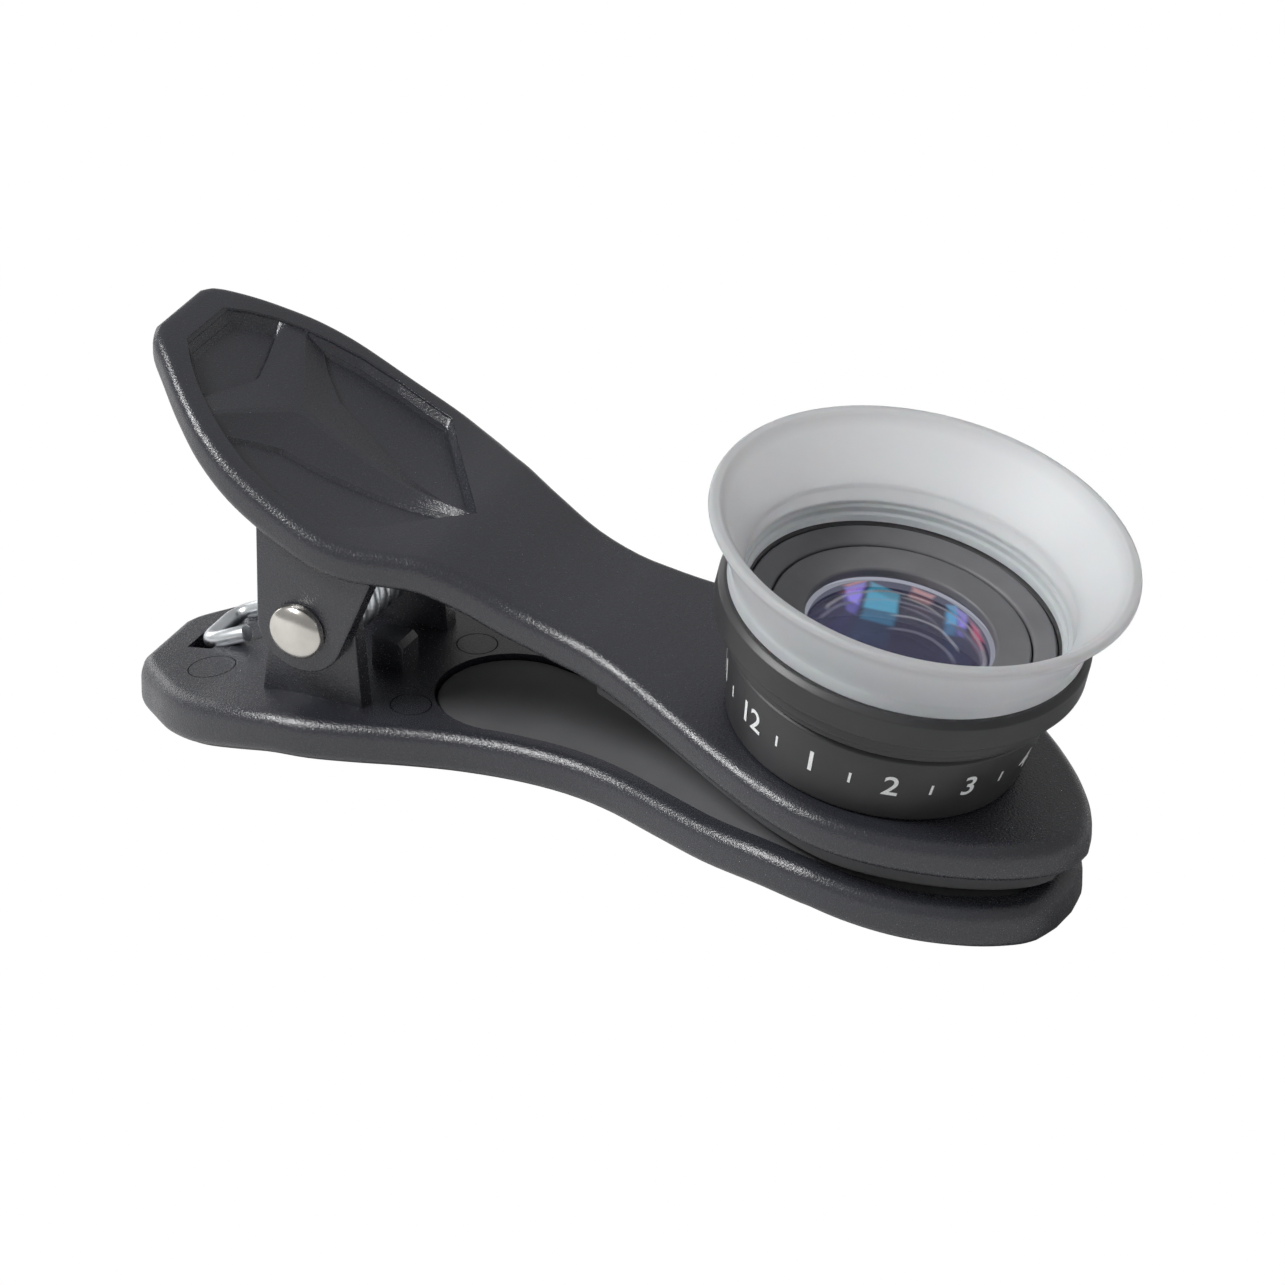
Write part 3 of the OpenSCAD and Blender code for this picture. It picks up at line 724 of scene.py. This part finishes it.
def sunken_panel(xs, low, low_foot, high, high_foot, sink, depth, end, top):
    """Cutter for a panel of the thumb rest, in sections whose walls slope in to their feet."""
    bm = bmesh.new()
    rings = []
    for x in xs:
        a, b = max(low_foot(x) - low(x), 0.05), max(high(x) - high_foot(x), 0.05)
        w = max(high(x) - low(x), 0.02)
        t = min(1, 0.98 * w / (a + b), (x - xs[0] + 0.02) / end)
        y0, y1, z = low(x), low(x) + w, top - sink - t * (depth - sink)
        section = [(y0, top + 2), (y1, top + 2), (y1, top - sink), (y1 - b * t, z), (y0 + a * t, z),
                   (y0, top - sink)]
        rings.append([bm.verts.new((x, y, h)) for y, h in section])
    for p, q in zip(rings, rings[1:]):
        for j in range(6):
            k = (j + 1) % 6
            bm.faces.new((p[j], p[k], q[k], q[j]))
    bm.faces.new(rings[0])
    bm.faces.new(rings[-1])
    bmesh.ops.recalc_face_normals(bm, faces=bm.faces)
    return bm


def in_rest(p):
    """Whether a point lies inside the thumb rest's outline."""
    return REST_START - 0.05 < p.x < REST_APEX + 0.05 and abs(p.y) < rest_y(p.x) + 0.03 and p.z > 9


def steps_between(a, b, n):
    return [a + (b - a) * i / n for i in range(n + 1)]


def thumb_rest(thick, depth):
    """The cutters of the whole thumb rest: a recess, the star's slopes and the three floors."""
    sink, knee = 0.26, 0.85
    cutters = [sunken_panel(steps_between(REST_START, REST_APEX, 56), negated(rest_y), negated(recess_foot),
                            rest_y, recess_foot, 0.03, 0.3, 0.25, thick),
               sunken_panel(steps_between(REST_START + 0.25, REST_HUB - 0.3, 40), negated(rear_y),
                            negated(rear_foot), rear_y, rear_foot, sink, knee, 0.4, thick),
               sunken_panel(steps_between(REST_START + 0.6, -58.7, 20), negated(shifted(rear_foot, -0.07)),
                            negated(shifted(rear_foot, -0.37)), shifted(rear_foot, -0.07),
                            shifted(rear_foot, -0.37), knee - 0.05, depth, 0.2, thick)]
    for flip in (1, -1):
        slope = sunken_panel(steps_between(REST_SIDE + 0.3, REST_APEX - 0.33, 80), crest_y, front_foot,
                             shifted(rest_y, -0.06), rest_foot, sink, knee, 0.02, thick)
        floor = sunken_panel(steps_between(-57.1, REST_APEX - 1.2, 70), shifted(front_foot, 0.07),
                             shifted(front_foot, 0.37), shifted(rest_foot, -0.07), shifted(rest_foot, -0.22),
                             knee - 0.05, depth, 0.2, thick)
        for bm in (slope, floor):
            bmesh.ops.scale(bm, verts=bm.verts, vec=(1, flip, 1))
            bmesh.ops.recalc_face_normals(bm, faces=bm.faces)
            cutters.append(bm)
    return cutters


class CLIP_OT_upper_arm(bpy.types.Operator):
    """Builds the upper arm with its thumb rest, ears and lens hole"""
    bl_idname = "clip.upper_arm"
    bl_label = "Upper arm"

    def execute(self, context):
        s, lens = context.scene.clip_sizes, context.scene.clip_lens
        thick = s.arm
        bm, top = slab(UPPER_PLAN, SIDE_STEPS, thick, s.edge)
        bmesh.ops.inset_region(bm, faces=[top], thickness=0.35, depth=0)
        bm = carve(bm, thumb_rest(thick, s.rest_depth))

        def low(x):
            return upper_top(x) - thick * math.sqrt(1 + upper_tilt(x) ** 2)

        bend(bm, UPPER_PLAN, thick, low, upper_top)
        bm = carve(bm, [lens_hole(lens.screw / 2 + 0.06)])
        px, pz = (PIN - SEAT).x, (PIN - SEAT).z
        ear = [(px + 4.1 * math.cos(math.radians(a)), pz + 4.1 * math.sin(math.radians(a)))
               for a in range(180, 341, 8)]
        ear += [(-41.3, 9.4), (-46, 10.6), (-52.9, 13.2)]
        bm = joined(bm, mirrored_copy(plate(ear, 8.65, 10.9)))
        piece("upper_arm_shell", bm, "arm", "arms", "jaw", "upper_arm", sharp=30, crisp=in_rest)
        return {"FINISHED"}


class CLIP_OT_lower_arm(bpy.types.Operator):
    """Builds the lower arm with its rim, lugs, rest rib and the spring's slot"""
    bl_idname = "clip.lower_arm"
    bl_label = "Lower arm"

    def execute(self, context):
        s = context.scene.clip_sizes
        thick = s.arm + 0.35
        bm, top = slab(LOWER_PLAN, SIDE_STEPS, thick, s.edge)
        bmesh.ops.inset_region(bm, faces=[top], thickness=0.12, depth=0)
        bmesh.ops.inset_region(bm, faces=[top], thickness=0.22, depth=-s.rim_height)
        bmesh.ops.inset_region(bm, faces=[top], thickness=0.2, depth=0)
        half = side(LOWER_PLAN, SIDE_STEPS, s.pad_inset - 0.25)
        recess = pad_outline(half, -40.95, 6.65)
        cutters = [prism(recess, thick - s.rim_height - 1.3, thick + 2)]
        slot = [(-65.15, -1.6), (-62.75, -1.6), (-62.75, 6.6), (-65.15, 6.6)]
        cutters.append(prism(slot, thick - 2.1, thick + 2))
        for y in (5.87, -5.87):
            cutters.append(ring_groove(-40.9, y, 1.8, thick - s.rim_height - 0.08))
            cutters.append(ring_groove(-60.9, y * 0.62 - 1.2, 2.1, thick - s.rim_height - 0.08))
        bm = carve(bm, cutters)

        def low(x):
            return lower_top(x) - s.arm - along(LOWER_MORE, x)

        bend(bm, LOWER_PLAN, thick, low, lower_top)
        px, pz = (PIN - SEAT).x, (PIN - SEAT).z
        lug = [(px + 3.9 * math.cos(math.radians(a)), pz + 3.9 * math.sin(math.radians(a)))
               for a in range(-2, 180, 8)]
        lug += [(-53.9, -6.3), (-53.9, -7.6), (-44.2, -7.6), (-44.2, -6.3)]
        rib = [(-47.2, -7.6), (-47.2, -3.1), (-44.6, -3.1), (-44.1, -3.6), (-44.1, -7.6)]
        bm = joined(bm, mirrored_copy(plate(lug, 6.6, 8.4, 0.2)), plate(rib, -1.4, 1.4, 0.15))
        piece("lower_arm_shell", bm, "arm", "arms", "base", "lower_arm", sharp=30)
        return {"FINISHED"}


def ring_groove(x, y, radius, low):
    """Cutter for the thin round mark that an ejector pin leaves."""
    section = [(radius - 0.1, low), (radius, low), (radius, low + 2), (radius - 0.1, low + 2)]
    bm = turned(section, 48)
    bmesh.ops.translate(bm, verts=bm.verts, vec=(x, y, 0))
    return bm


def pad_outline(half, rear, radius):
    """The lower pad's outline: the arm's inset sides, closed by a round end behind."""
    centre = rear + radius
    upper = [(x, y) for x, y in half if x > centre and not (x < centre + 2 and y > radius)]
    arc = [(centre + radius * math.cos(math.radians(a)), radius * math.sin(math.radians(a)))
           for a in range(270, 89, -9)]
    low_side = [(x, -y) for x, y in reversed(upper)]
    return upper + low_side + arc


class CLIP_OT_pads(bpy.types.Operator):
    """Builds the rubber pads of both jaws"""
    bl_idname = "clip.pads"
    bl_label = "Jaw pads"

    def execute(self, context):
        s, lens = context.scene.clip_sizes, context.scene.clip_lens
        thick = 1.32
        bm = prism(pad_outline(side(LOWER_PLAN, SIDE_STEPS, s.pad_inset), -40.7, 6.4), 0, thick)
        bm.normal_update()
        bevel(bm, [e for e in bm.edges if min(v.co.z for v in e.verts) > thick - 0.01], 0.28, 3)

        def top(x):
            return lower_top(x) - s.rim_height + 0.05

        bend(bm, LOWER_PLAN, thick, lambda x: top(x) - thick, top)
        piece("lower_pad_face", bm, "pad", "pads", "base", "lower_pad", sharp=40)

        half = [p for p in side(UPPER_PLAN, SIDE_STEPS, s.pad_inset + 0.2) if p[0] > -24]
        thick = 2.85
        bm = prism(half + [(x, -y) for x, y in reversed(half)], 0, thick)
        bm.normal_update()
        bevel(bm, [e for e in bm.edges if max(v.co.z for v in e.verts) < 0.01], 0.35, 3)

        def low(x):
            return upper_top(x) - s.arm * math.sqrt(1 + upper_tilt(x) ** 2) - 2.3

        bend(bm, UPPER_PLAN, thick, low, lambda x: low(x) + thick)
        bm = carve(bm, [lens_hole(lens.screw / 2 + 1.6)])
        piece("upper_pad_ring", bm, "pad", "pads", "jaw", "upper_pad", sharp=40)
        return {"FINISHED"}


# Hinge

class CLIP_OT_rivet(bpy.types.Operator):
    """Builds the hinge pin with its domed head, and the cap on its far end"""
    bl_idname = "clip.rivet"
    bl_label = "Hinge rivet"

    def execute(self, context):
        s = context.scene.clip_sizes
        r, h, length, bore = s.head / 2, 1.05, 23, 0.65
        dome = [(r * math.cos(a), 0.45 + h * math.sin(a)) for a in map(math.radians, range(0, 90, 9))]
        head = [(s.pin / 2, 0), (r - 0.12, 0), (r, 0.12), *dome, (0, 0.45 + h)]
        for name, end, turn, node in (("hinge_rivet", -length, math.pi / 2, "pivot_pin"),
                                      ("rivet_cap", bore, -math.pi / 2, "pin_cap")):
            bm = turned([(0, end), (s.pin / 2, end)] + head, 72)
            place = (into_frame() @ Matrix.Translation((PIN - SEAT)) @ Matrix.Rotation(turn, 4, "X")
                     @ Matrix.Translation((0, 0, 10.98)))
            piece(name, bm, "nickel", "pin_steel", "base", node, place=place)
        return {"FINISHED"}


def spring_path(s):
    """Centre line of the spring wire, from the hook's cut end to the leg under the upper arm."""
    pin = PIN - SEAT
    hook = Vector((-64.1, 5.4, -8.75))
    near = Vector((-64.1, -0.3, -8.75))
    flat = Vector((pin.x - hook.x, pin.z - hook.z))
    rise = math.atan2(flat.y, flat.x) - math.asin(s.coil / flat.length)
    leg = Vector((math.cos(rise), 0, math.sin(rise)))
    start, end = rise - math.pi / 2, math.radians(46.5) + 12 * math.pi

    def corner(c, a, b, r):
        return [c + a * r * (1 - math.sin(t)) + b * r * (1 - math.cos(t))
                for t in [math.pi / 2 * k / 7 for k in range(8)]]

    points = [near + leg * 4.6]
    points += corner(near, leg, Vector((0, 1, 0)), 1.5)
    points += corner(hook, Vector((0, -1, 0)), leg, 1.5)
    steps = 300
    for i in range(steps + 1):
        a = start + (end - start) * i / steps
        points.append(Vector((pin.x + s.coil * math.cos(a), 5.4 - 11.0 * i / steps,
                              pin.z + s.coil * math.sin(a))))
    points.append(points[-1] + Vector((-math.sin(end), 0, math.cos(end))) * 12)
    return points


class CLIP_OT_spring(bpy.types.Operator):
    """Builds the torsion spring as one fixed piece; the real coil winds up as the jaws open"""
    bl_idname = "clip.spring"
    bl_label = "Torsion spring"

    def execute(self, context):
        s = context.scene.clip_sizes
        line = spring_path(s)
        bm = bmesh.new()
        first = (line[1] - line[0]).normalized()
        turn = first.to_track_quat("Z", "Y")
        bmesh.ops.create_circle(bm, cap_ends=True, segments=20, radius=s.wire / 2,
                                matrix=Matrix.Translation(line[0]) @ turn.to_matrix().to_4x4())
        face = next(iter(bm.faces))
        way = first
        for i in range(1, len(line)):
            after = (line[min(i + 1, len(line) - 1)] - line[i - 1]).normalized()
            made = bmesh.ops.extrude_face_region(bm, geom=[face])["geom"]
            new = [v for v in made if isinstance(v, bmesh.types.BMVert)]
            face = next(f for f in made if isinstance(f, bmesh.types.BMFace))
            bend_by = way.rotation_difference(after).to_matrix().to_4x4()
            move = Matrix.Translation(line[i]) @ bend_by @ Matrix.Translation(-line[i - 1])
            bmesh.ops.transform(bm, matrix=move, verts=new)
            way = after
        ends = [e for e in bm.edges if len([f for f in e.link_faces if len(f.verts) > 4]) == 1]
        bevel(bm, ends, 0.12, 2)
        obj = piece("spring_wire", bm, "zinc", "spring_steel", None, "torsion_spring", sharp=60)
        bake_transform(obj)
        return {"FINISHED"}


# Lens and hood

def hood_section(lens):
    """The hood's section: a plug neck, a short band and a thin cone that flares to the rim."""
    top, rim, high = lens.ring_top, lens.rim / 2, lens.rim_height
    outer = [(15.25 + (rim - 15.25) * (k / 12) ** 1.25, top + 1.4 + (high - 0.4 - top - 1.4) * k / 12)
             for k in range(13)]
    inner = [(r - 1.15, z + 0.35) for r, z in reversed(outer)]
    foot = [(13.45, 11.35), (14.9, 11.35), (14.9, top + 0.06), (15.15, top + 0.06), (15.35, top + 0.26),
            (15.35, top + 1.1)]
    lip = [(rim, high - 0.15), (rim - 0.08, high + 0.05), (rim - 0.3, high + 0.2), (rim - 0.85, high + 0.2)]
    neck = [(14.05, top + 0.75), (14.05, top + 0.15), (13.75, top + 0.05), (13.75, top - 0.45),
            (13.45, top - 0.55)]
    return foot + outer + lip + inner + neck


class CLIP_OT_housing(bpy.types.Operator):
    """Builds the turned rings of the lens housing"""
    bl_idname = "clip.housing"
    bl_label = "Lens housing"

    def execute(self, context):
        lens = context.scene.clip_lens
        screw, foot, ring, clear = lens.screw / 2, lens.barrel / 2, lens.ring / 2, lens.glass / 2
        high, top = lens.barrel_height, lens.ring_top
        barrel = [(screw - 1.9, -3.1), (screw - 0.4, -3.1), (screw, -2.7), (screw, 0.05), (foot - 0.25, 0.05),
                  (foot, 0.3), (foot + 1.15, high - 0.62), (foot + 0.6, high), (12.35, high),
                  (11.96, high - 0.4), (11.96, 3.3), (7.3, 3.3), (7.3, -1.2), (screw - 1.9, -1.2)]
        front = [(7.9, 3.7), (11.6, 3.7), (11.9, 4.0), (11.9, high + 0.12), (14.3, high + 0.12),
                 (14.5, high + 0.32), (14.5, 8.35), (15.1, 8.55), (15.1, 9.8), (ring - 0.2, 9.8),
                 (ring, 10.0), (ring, 12.1), (ring - 0.5, top), (14.98, top), (14.98, 11.1), (13.3, 11.1),
                 (13.3, 9.2), (9.0, 9.2), (9.0, 4.3), (7.9, 4.3)]
        inner = [(8.5, 9.25), (11.1, 9.25), (11.1, 10.45), (10.95, 10.6), (clear + 0.15, 10.42),
                 (clear, 10.27), (clear, 9.65)]
        outer = [(11.25, 9.25), (13.2, 9.25), (13.2, 11.05), (12.95, 11.3), (11.45, 10.72), (11.25, 10.55)]
        # The bezel finish is the lightened housing black, a painted reflection
        rings = [("barrel_shell", barrel, "housing", "barrel", "lens_barrel"),
                 ("front_ring_shell", front, "housing", "front", "front_ring"),
                 ("inner_bezel", inner, "bezel", "front", "inner_bezel_ring"),
                 ("outer_bezel", outer, "bezel", "front", "outer_bezel_ring"),
                 ("rear_retainer", [(6.2, 2.42), (7.25, 2.42), (7.25, 3.0), (7.05, 3.2), (6.4, 3.2)], "bezel",
                  "rear_core", "rear_retaining_ring"),
                 ("rear_spacer_tube", [(6.3, 0.42), (7.2, 0.42), (7.2, 1.25), (6.5, 1.25)], "bezel",
                  "rear_core", "rear_spacer"),
                 ("front_spacer_tube", [(clear - 0.5, 7.02), (8.9, 7.02), (8.9, 7.62), (clear - 0.25, 7.62)],
                  "bezel", "front_core", "spacer_ring")]
        for name, section, material, body, node in rings:
            bm = turned(rounded(section, 0.12), lens.steps)
            piece(name, bm, material, "lens_body", body, node, place=onto_lens_axis(), sharp=50)
        return {"FINISHED"}


class CLIP_OT_glass(bpy.types.Operator):
    """Builds the glass elements of the lens"""
    bl_idname = "clip.glass"
    bl_label = "Lens glass"

    def execute(self, context):
        steps = context.scene.clip_lens.steps
        stack = [("rear_glass", 7.2, -1.15, 0.3, 0.35, 0.35, "glass", "rear_core", "rear_element"),
                 ("middle_glass", 7.2, 1.3, 2.3, 0.3, -0.3, "inner", "rear_core", "middle_element"),
                 ("flint_glass", 8.9, 4.35, 6.2, -0.85, 0.0, "glass", "front_core", "flint_element"),
                 ("crown_glass", 8.9, 6.25, 6.9, 0.35, 0.85, "glass", "front_core", "crown_element"),
                 ("front_glass", 8.9, 7.75, 9.15, 1.0, 0.35, "front", "front_core", "front_element")]
        for name, r, z0, z1, up, down, material, body, node in stack:
            count = 24
            low = [(r * k / count, z0 - down * (1 - (k / count) ** 2)) for k in range(count + 1)]
            high = [(r * k / count, z1 + up * (1 - (k / count) ** 2)) for k in range(count, -1, -1)]
            bm = turned(low + high, steps)
            piece(name, bm, material, "lens_glass", body, node, place=onto_lens_axis(), sharp=40)
        return {"FINISHED"}


class CLIP_OT_hood(bpy.types.Operator):
    """Builds the frosted hood"""
    bl_idname = "clip.hood"
    bl_label = "Hood"

    def execute(self, context):
        lens = context.scene.clip_lens
        bm = turned(rounded(hood_section(lens), 0.1), lens.steps)
        piece("hood_shell", bm, "hood", "hood_plastic", "hood_body", "hood", place=onto_lens_axis(), sharp=50)
        return {"FINISHED"}


class CLIP_OT_scale(bpy.types.Operator):
    """Prints a plain numbered scale round the barrel"""
    bl_idname = "clip.scale"
    bl_label = "Barrel scale"

    def execute(self, context):
        lens = context.scene.clip_lens
        marks = bmesh.new()
        whole = []
        count = 24
        for k in range(count):
            turn = 2 * math.pi * k / count
            if k % 2:
                bm = bmesh.new()
                bmesh.ops.create_cube(bm, size=1, matrix=Matrix.Diagonal((0.22, 0.02, 1.1, 1)))
                bmesh.ops.translate(bm, verts=bm.verts, vec=(0, 0, 3.9))
            else:
                text = bpy.data.curves.new("number", "FONT")
                text.body = str(k // 2 + 1)
                text.size = 3.0
                text.offset = 0.03
                text.align_x = "CENTER"
                text.extrude = 0.01
                holder = bpy.data.objects.new("number", text)
                bpy.context.scene.collection.objects.link(holder)
                bpy.context.view_layer.update()
                bm = bmesh.new()
                shown = holder.evaluated_get(bpy.context.evaluated_depsgraph_get())
                mesh = bpy.data.meshes.new_from_object(shown)
                bm.from_mesh(mesh)
                bpy.data.objects.remove(holder)
                bpy.data.curves.remove(text)
                bpy.data.meshes.remove(mesh)
                bmesh.ops.remove_doubles(bm, verts=bm.verts, dist=1e-5)
                bmesh.ops.triangulate(bm, faces=bm.faces)
                for i in range(-9, 10):
                    bmesh.ops.bisect_plane(bm, geom=[*bm.verts, *bm.edges, *bm.faces],
                                           plane_co=(i * 0.25, 0, 0), plane_no=(1, 0, 0))
                bmesh.ops.transform(bm, verts=bm.verts, matrix=Matrix(
                    ((1, 0, 0, 0), (0, 0, -1, 0), (0, 1, 0, 3.0), (0, 0, 0, 1))))
            whole.append((bm, turn))
        for bm, turn in whole:
            for v in bm.verts:
                radius = lens.barrel / 2 + 1.25 * (v.co.z / lens.barrel_height) + 0.012 - v.co.y
                angle = turn + v.co.x / radius - math.pi / 2
                v.co = Vector((radius * math.cos(angle), radius * math.sin(angle), v.co.z))
            marks = joined(marks, bm)
        piece("barrel_marks", marks, "mark", "lens_body", "barrel", place=onto_lens_axis())
        return {"FINISHED"}


# Stage

class CLIP_OT_stage(bpy.types.Operator):
    """Sets up the camera, the lamps and the floor"""
    bl_idname = "clip.stage"
    bl_label = "Stage"

    def execute(self, context):
        scene = context.scene
        data = bpy.data.cameras.new("camera")
        data.sensor_width = 36
        data.sensor_fit = "HORIZONTAL"
        data.lens = 341.75
        data.clip_start = 0.05
        data.clip_end = 20
        camera = bpy.data.objects.new("camera", data)
        scene.collection.objects.link(camera)
        back = Vector((0.4069, -0.7684, 0.4939)).normalized()
        target = (SEAT + Vector((-18.68, -5.95, 6.13))) * MM
        camera.location = target + back * 1.01716
        camera.rotation_euler = back.to_track_quat("Z", "Y").to_euler()
        scene.camera = camera
        scene.view_settings.view_transform = "Standard"

        def lamp(name, place, aim, size, power):
            light = bpy.data.lights.new(name, "AREA")
            light.shape = "RECTANGLE"
            light.size, light.size_y = size
            light.energy = power
            holder = bpy.data.objects.new(name, light)
            scene.collection.objects.link(holder)
            holder.location = place
            holder.rotation_euler = (Vector(aim) - Vector(place)).to_track_quat("-Z", "Y").to_euler()

        lamp("key", (-0.38, -0.42, 0.72), (-0.02, 0, 0.02), (0.34, 0.24), 7.5)
        lamp("side", (-0.8, 0.35, 0.16), (-0.02, 0, 0.02), (0.5, 0.2), 0.9)
        world = bpy.data.worlds.new("studio")
        scene.world = world
        world.use_nodes = True
        tree = world.node_tree
        tree.nodes["Background"].inputs["Strength"].default_value = 0.34
        tree.nodes["Background"].inputs["Color"].default_value = (1, 1, 1, 1)
        plain = tree.nodes.new("ShaderNodeBackground")
        plain.inputs["Strength"].default_value = 1.0
        rays = tree.nodes.new("ShaderNodeLightPath")
        seen = tree.nodes.new("ShaderNodeMath")
        seen.operation = "MAXIMUM"
        tree.links.new(rays.outputs["Is Camera Ray"], seen.inputs[0])
        tree.links.new(rays.outputs["Is Transmission Ray"], seen.inputs[1])
        join = tree.nodes.new("ShaderNodeMixShader")
        tree.links.new(seen.outputs[0], join.inputs[0])
        tree.links.new(tree.nodes["Background"].outputs[0], join.inputs[1])
        tree.links.new(plain.outputs[0], join.inputs[2])
        tree.links.new(join.outputs[0], tree.nodes["World Output"].inputs[0])

        bm = bmesh.new()
        bmesh.ops.create_grid(bm, x_segments=1, y_segments=1, size=2.0)
        mesh = bpy.data.meshes.new("floor")
        bm.to_mesh(mesh)
        bm.free()
        floor = bpy.data.objects.new("floor", mesh)
        scene.collection.objects.link(floor)
        mesh.materials.append(floor_paper(scene.clip_colours.floor))
        return {"FINISHED"}


def floor_paper(base):
    """White paper that shows as plain white to the camera and keeps the shadow faint."""
    f = Finish("clip_floor")
    grain = f.noise(900, 2.0)
    f.set("Base Color", f.mix(grain, shade(base, 0.98), shade(base, 1.0)))
    f.shader.inputs["Roughness"].default_value = 0.9
    glow = f.tree.nodes.new("ShaderNodeEmission")
    glow.inputs["Strength"].default_value = 1.0
    rays = f.tree.nodes.new("ShaderNodeLightPath")
    join = f.tree.nodes.new("ShaderNodeMixShader")
    f.tree.links.new(rays.outputs["Is Camera Ray"], join.inputs[0])
    f.tree.links.new(f.shader.outputs[0], join.inputs[1])
    f.tree.links.new(glow.outputs[0], join.inputs[2])
    f.tree.links.new(join.outputs[0], f.tree.nodes["Material Output"].inputs[0])
    return f.material


class CLIP_PT_panel(bpy.types.Panel):
    """Lists the clip's pieces and their sizes"""
    bl_label = "Lens clip"
    bl_space_type = "VIEW_3D"
    bl_region_type = "UI"
    bl_category = "Lens clip"

    def draw(self, context):
        for group in (context.scene.clip_sizes, context.scene.clip_lens, context.scene.clip_colours):
            for name in group.__annotations__:
                self.layout.prop(group, name)
        for step in STEPS:
            self.layout.operator(step.bl_idname)


GROUPS = {"clip_sizes": ClipSizes, "clip_lens": LensSizes, "clip_colours": ClipColours}
STEPS = (CLIP_OT_lower_arm, CLIP_OT_upper_arm, CLIP_OT_pads, CLIP_OT_rivet, CLIP_OT_spring,
         CLIP_OT_housing, CLIP_OT_glass, CLIP_OT_hood, CLIP_OT_scale, CLIP_OT_stage)


def register():
    for cls in (*GROUPS.values(), *STEPS, CLIP_PT_panel):
        bpy.utils.register_class(cls)
    for name, group in GROUPS.items():
        setattr(bpy.types.Scene, name, PointerProperty(type=group))


def unregister():
    for name in GROUPS:
        delattr(bpy.types.Scene, name)
    for cls in reversed((*GROUPS.values(), *STEPS, CLIP_PT_panel)):
        bpy.utils.unregister_class(cls)


def main():
    register()
    for step in STEPS:
        group, name = step.bl_idname.split(".")
        getattr(getattr(bpy.ops, group), name)()


if __name__ == "__main__":
    main()
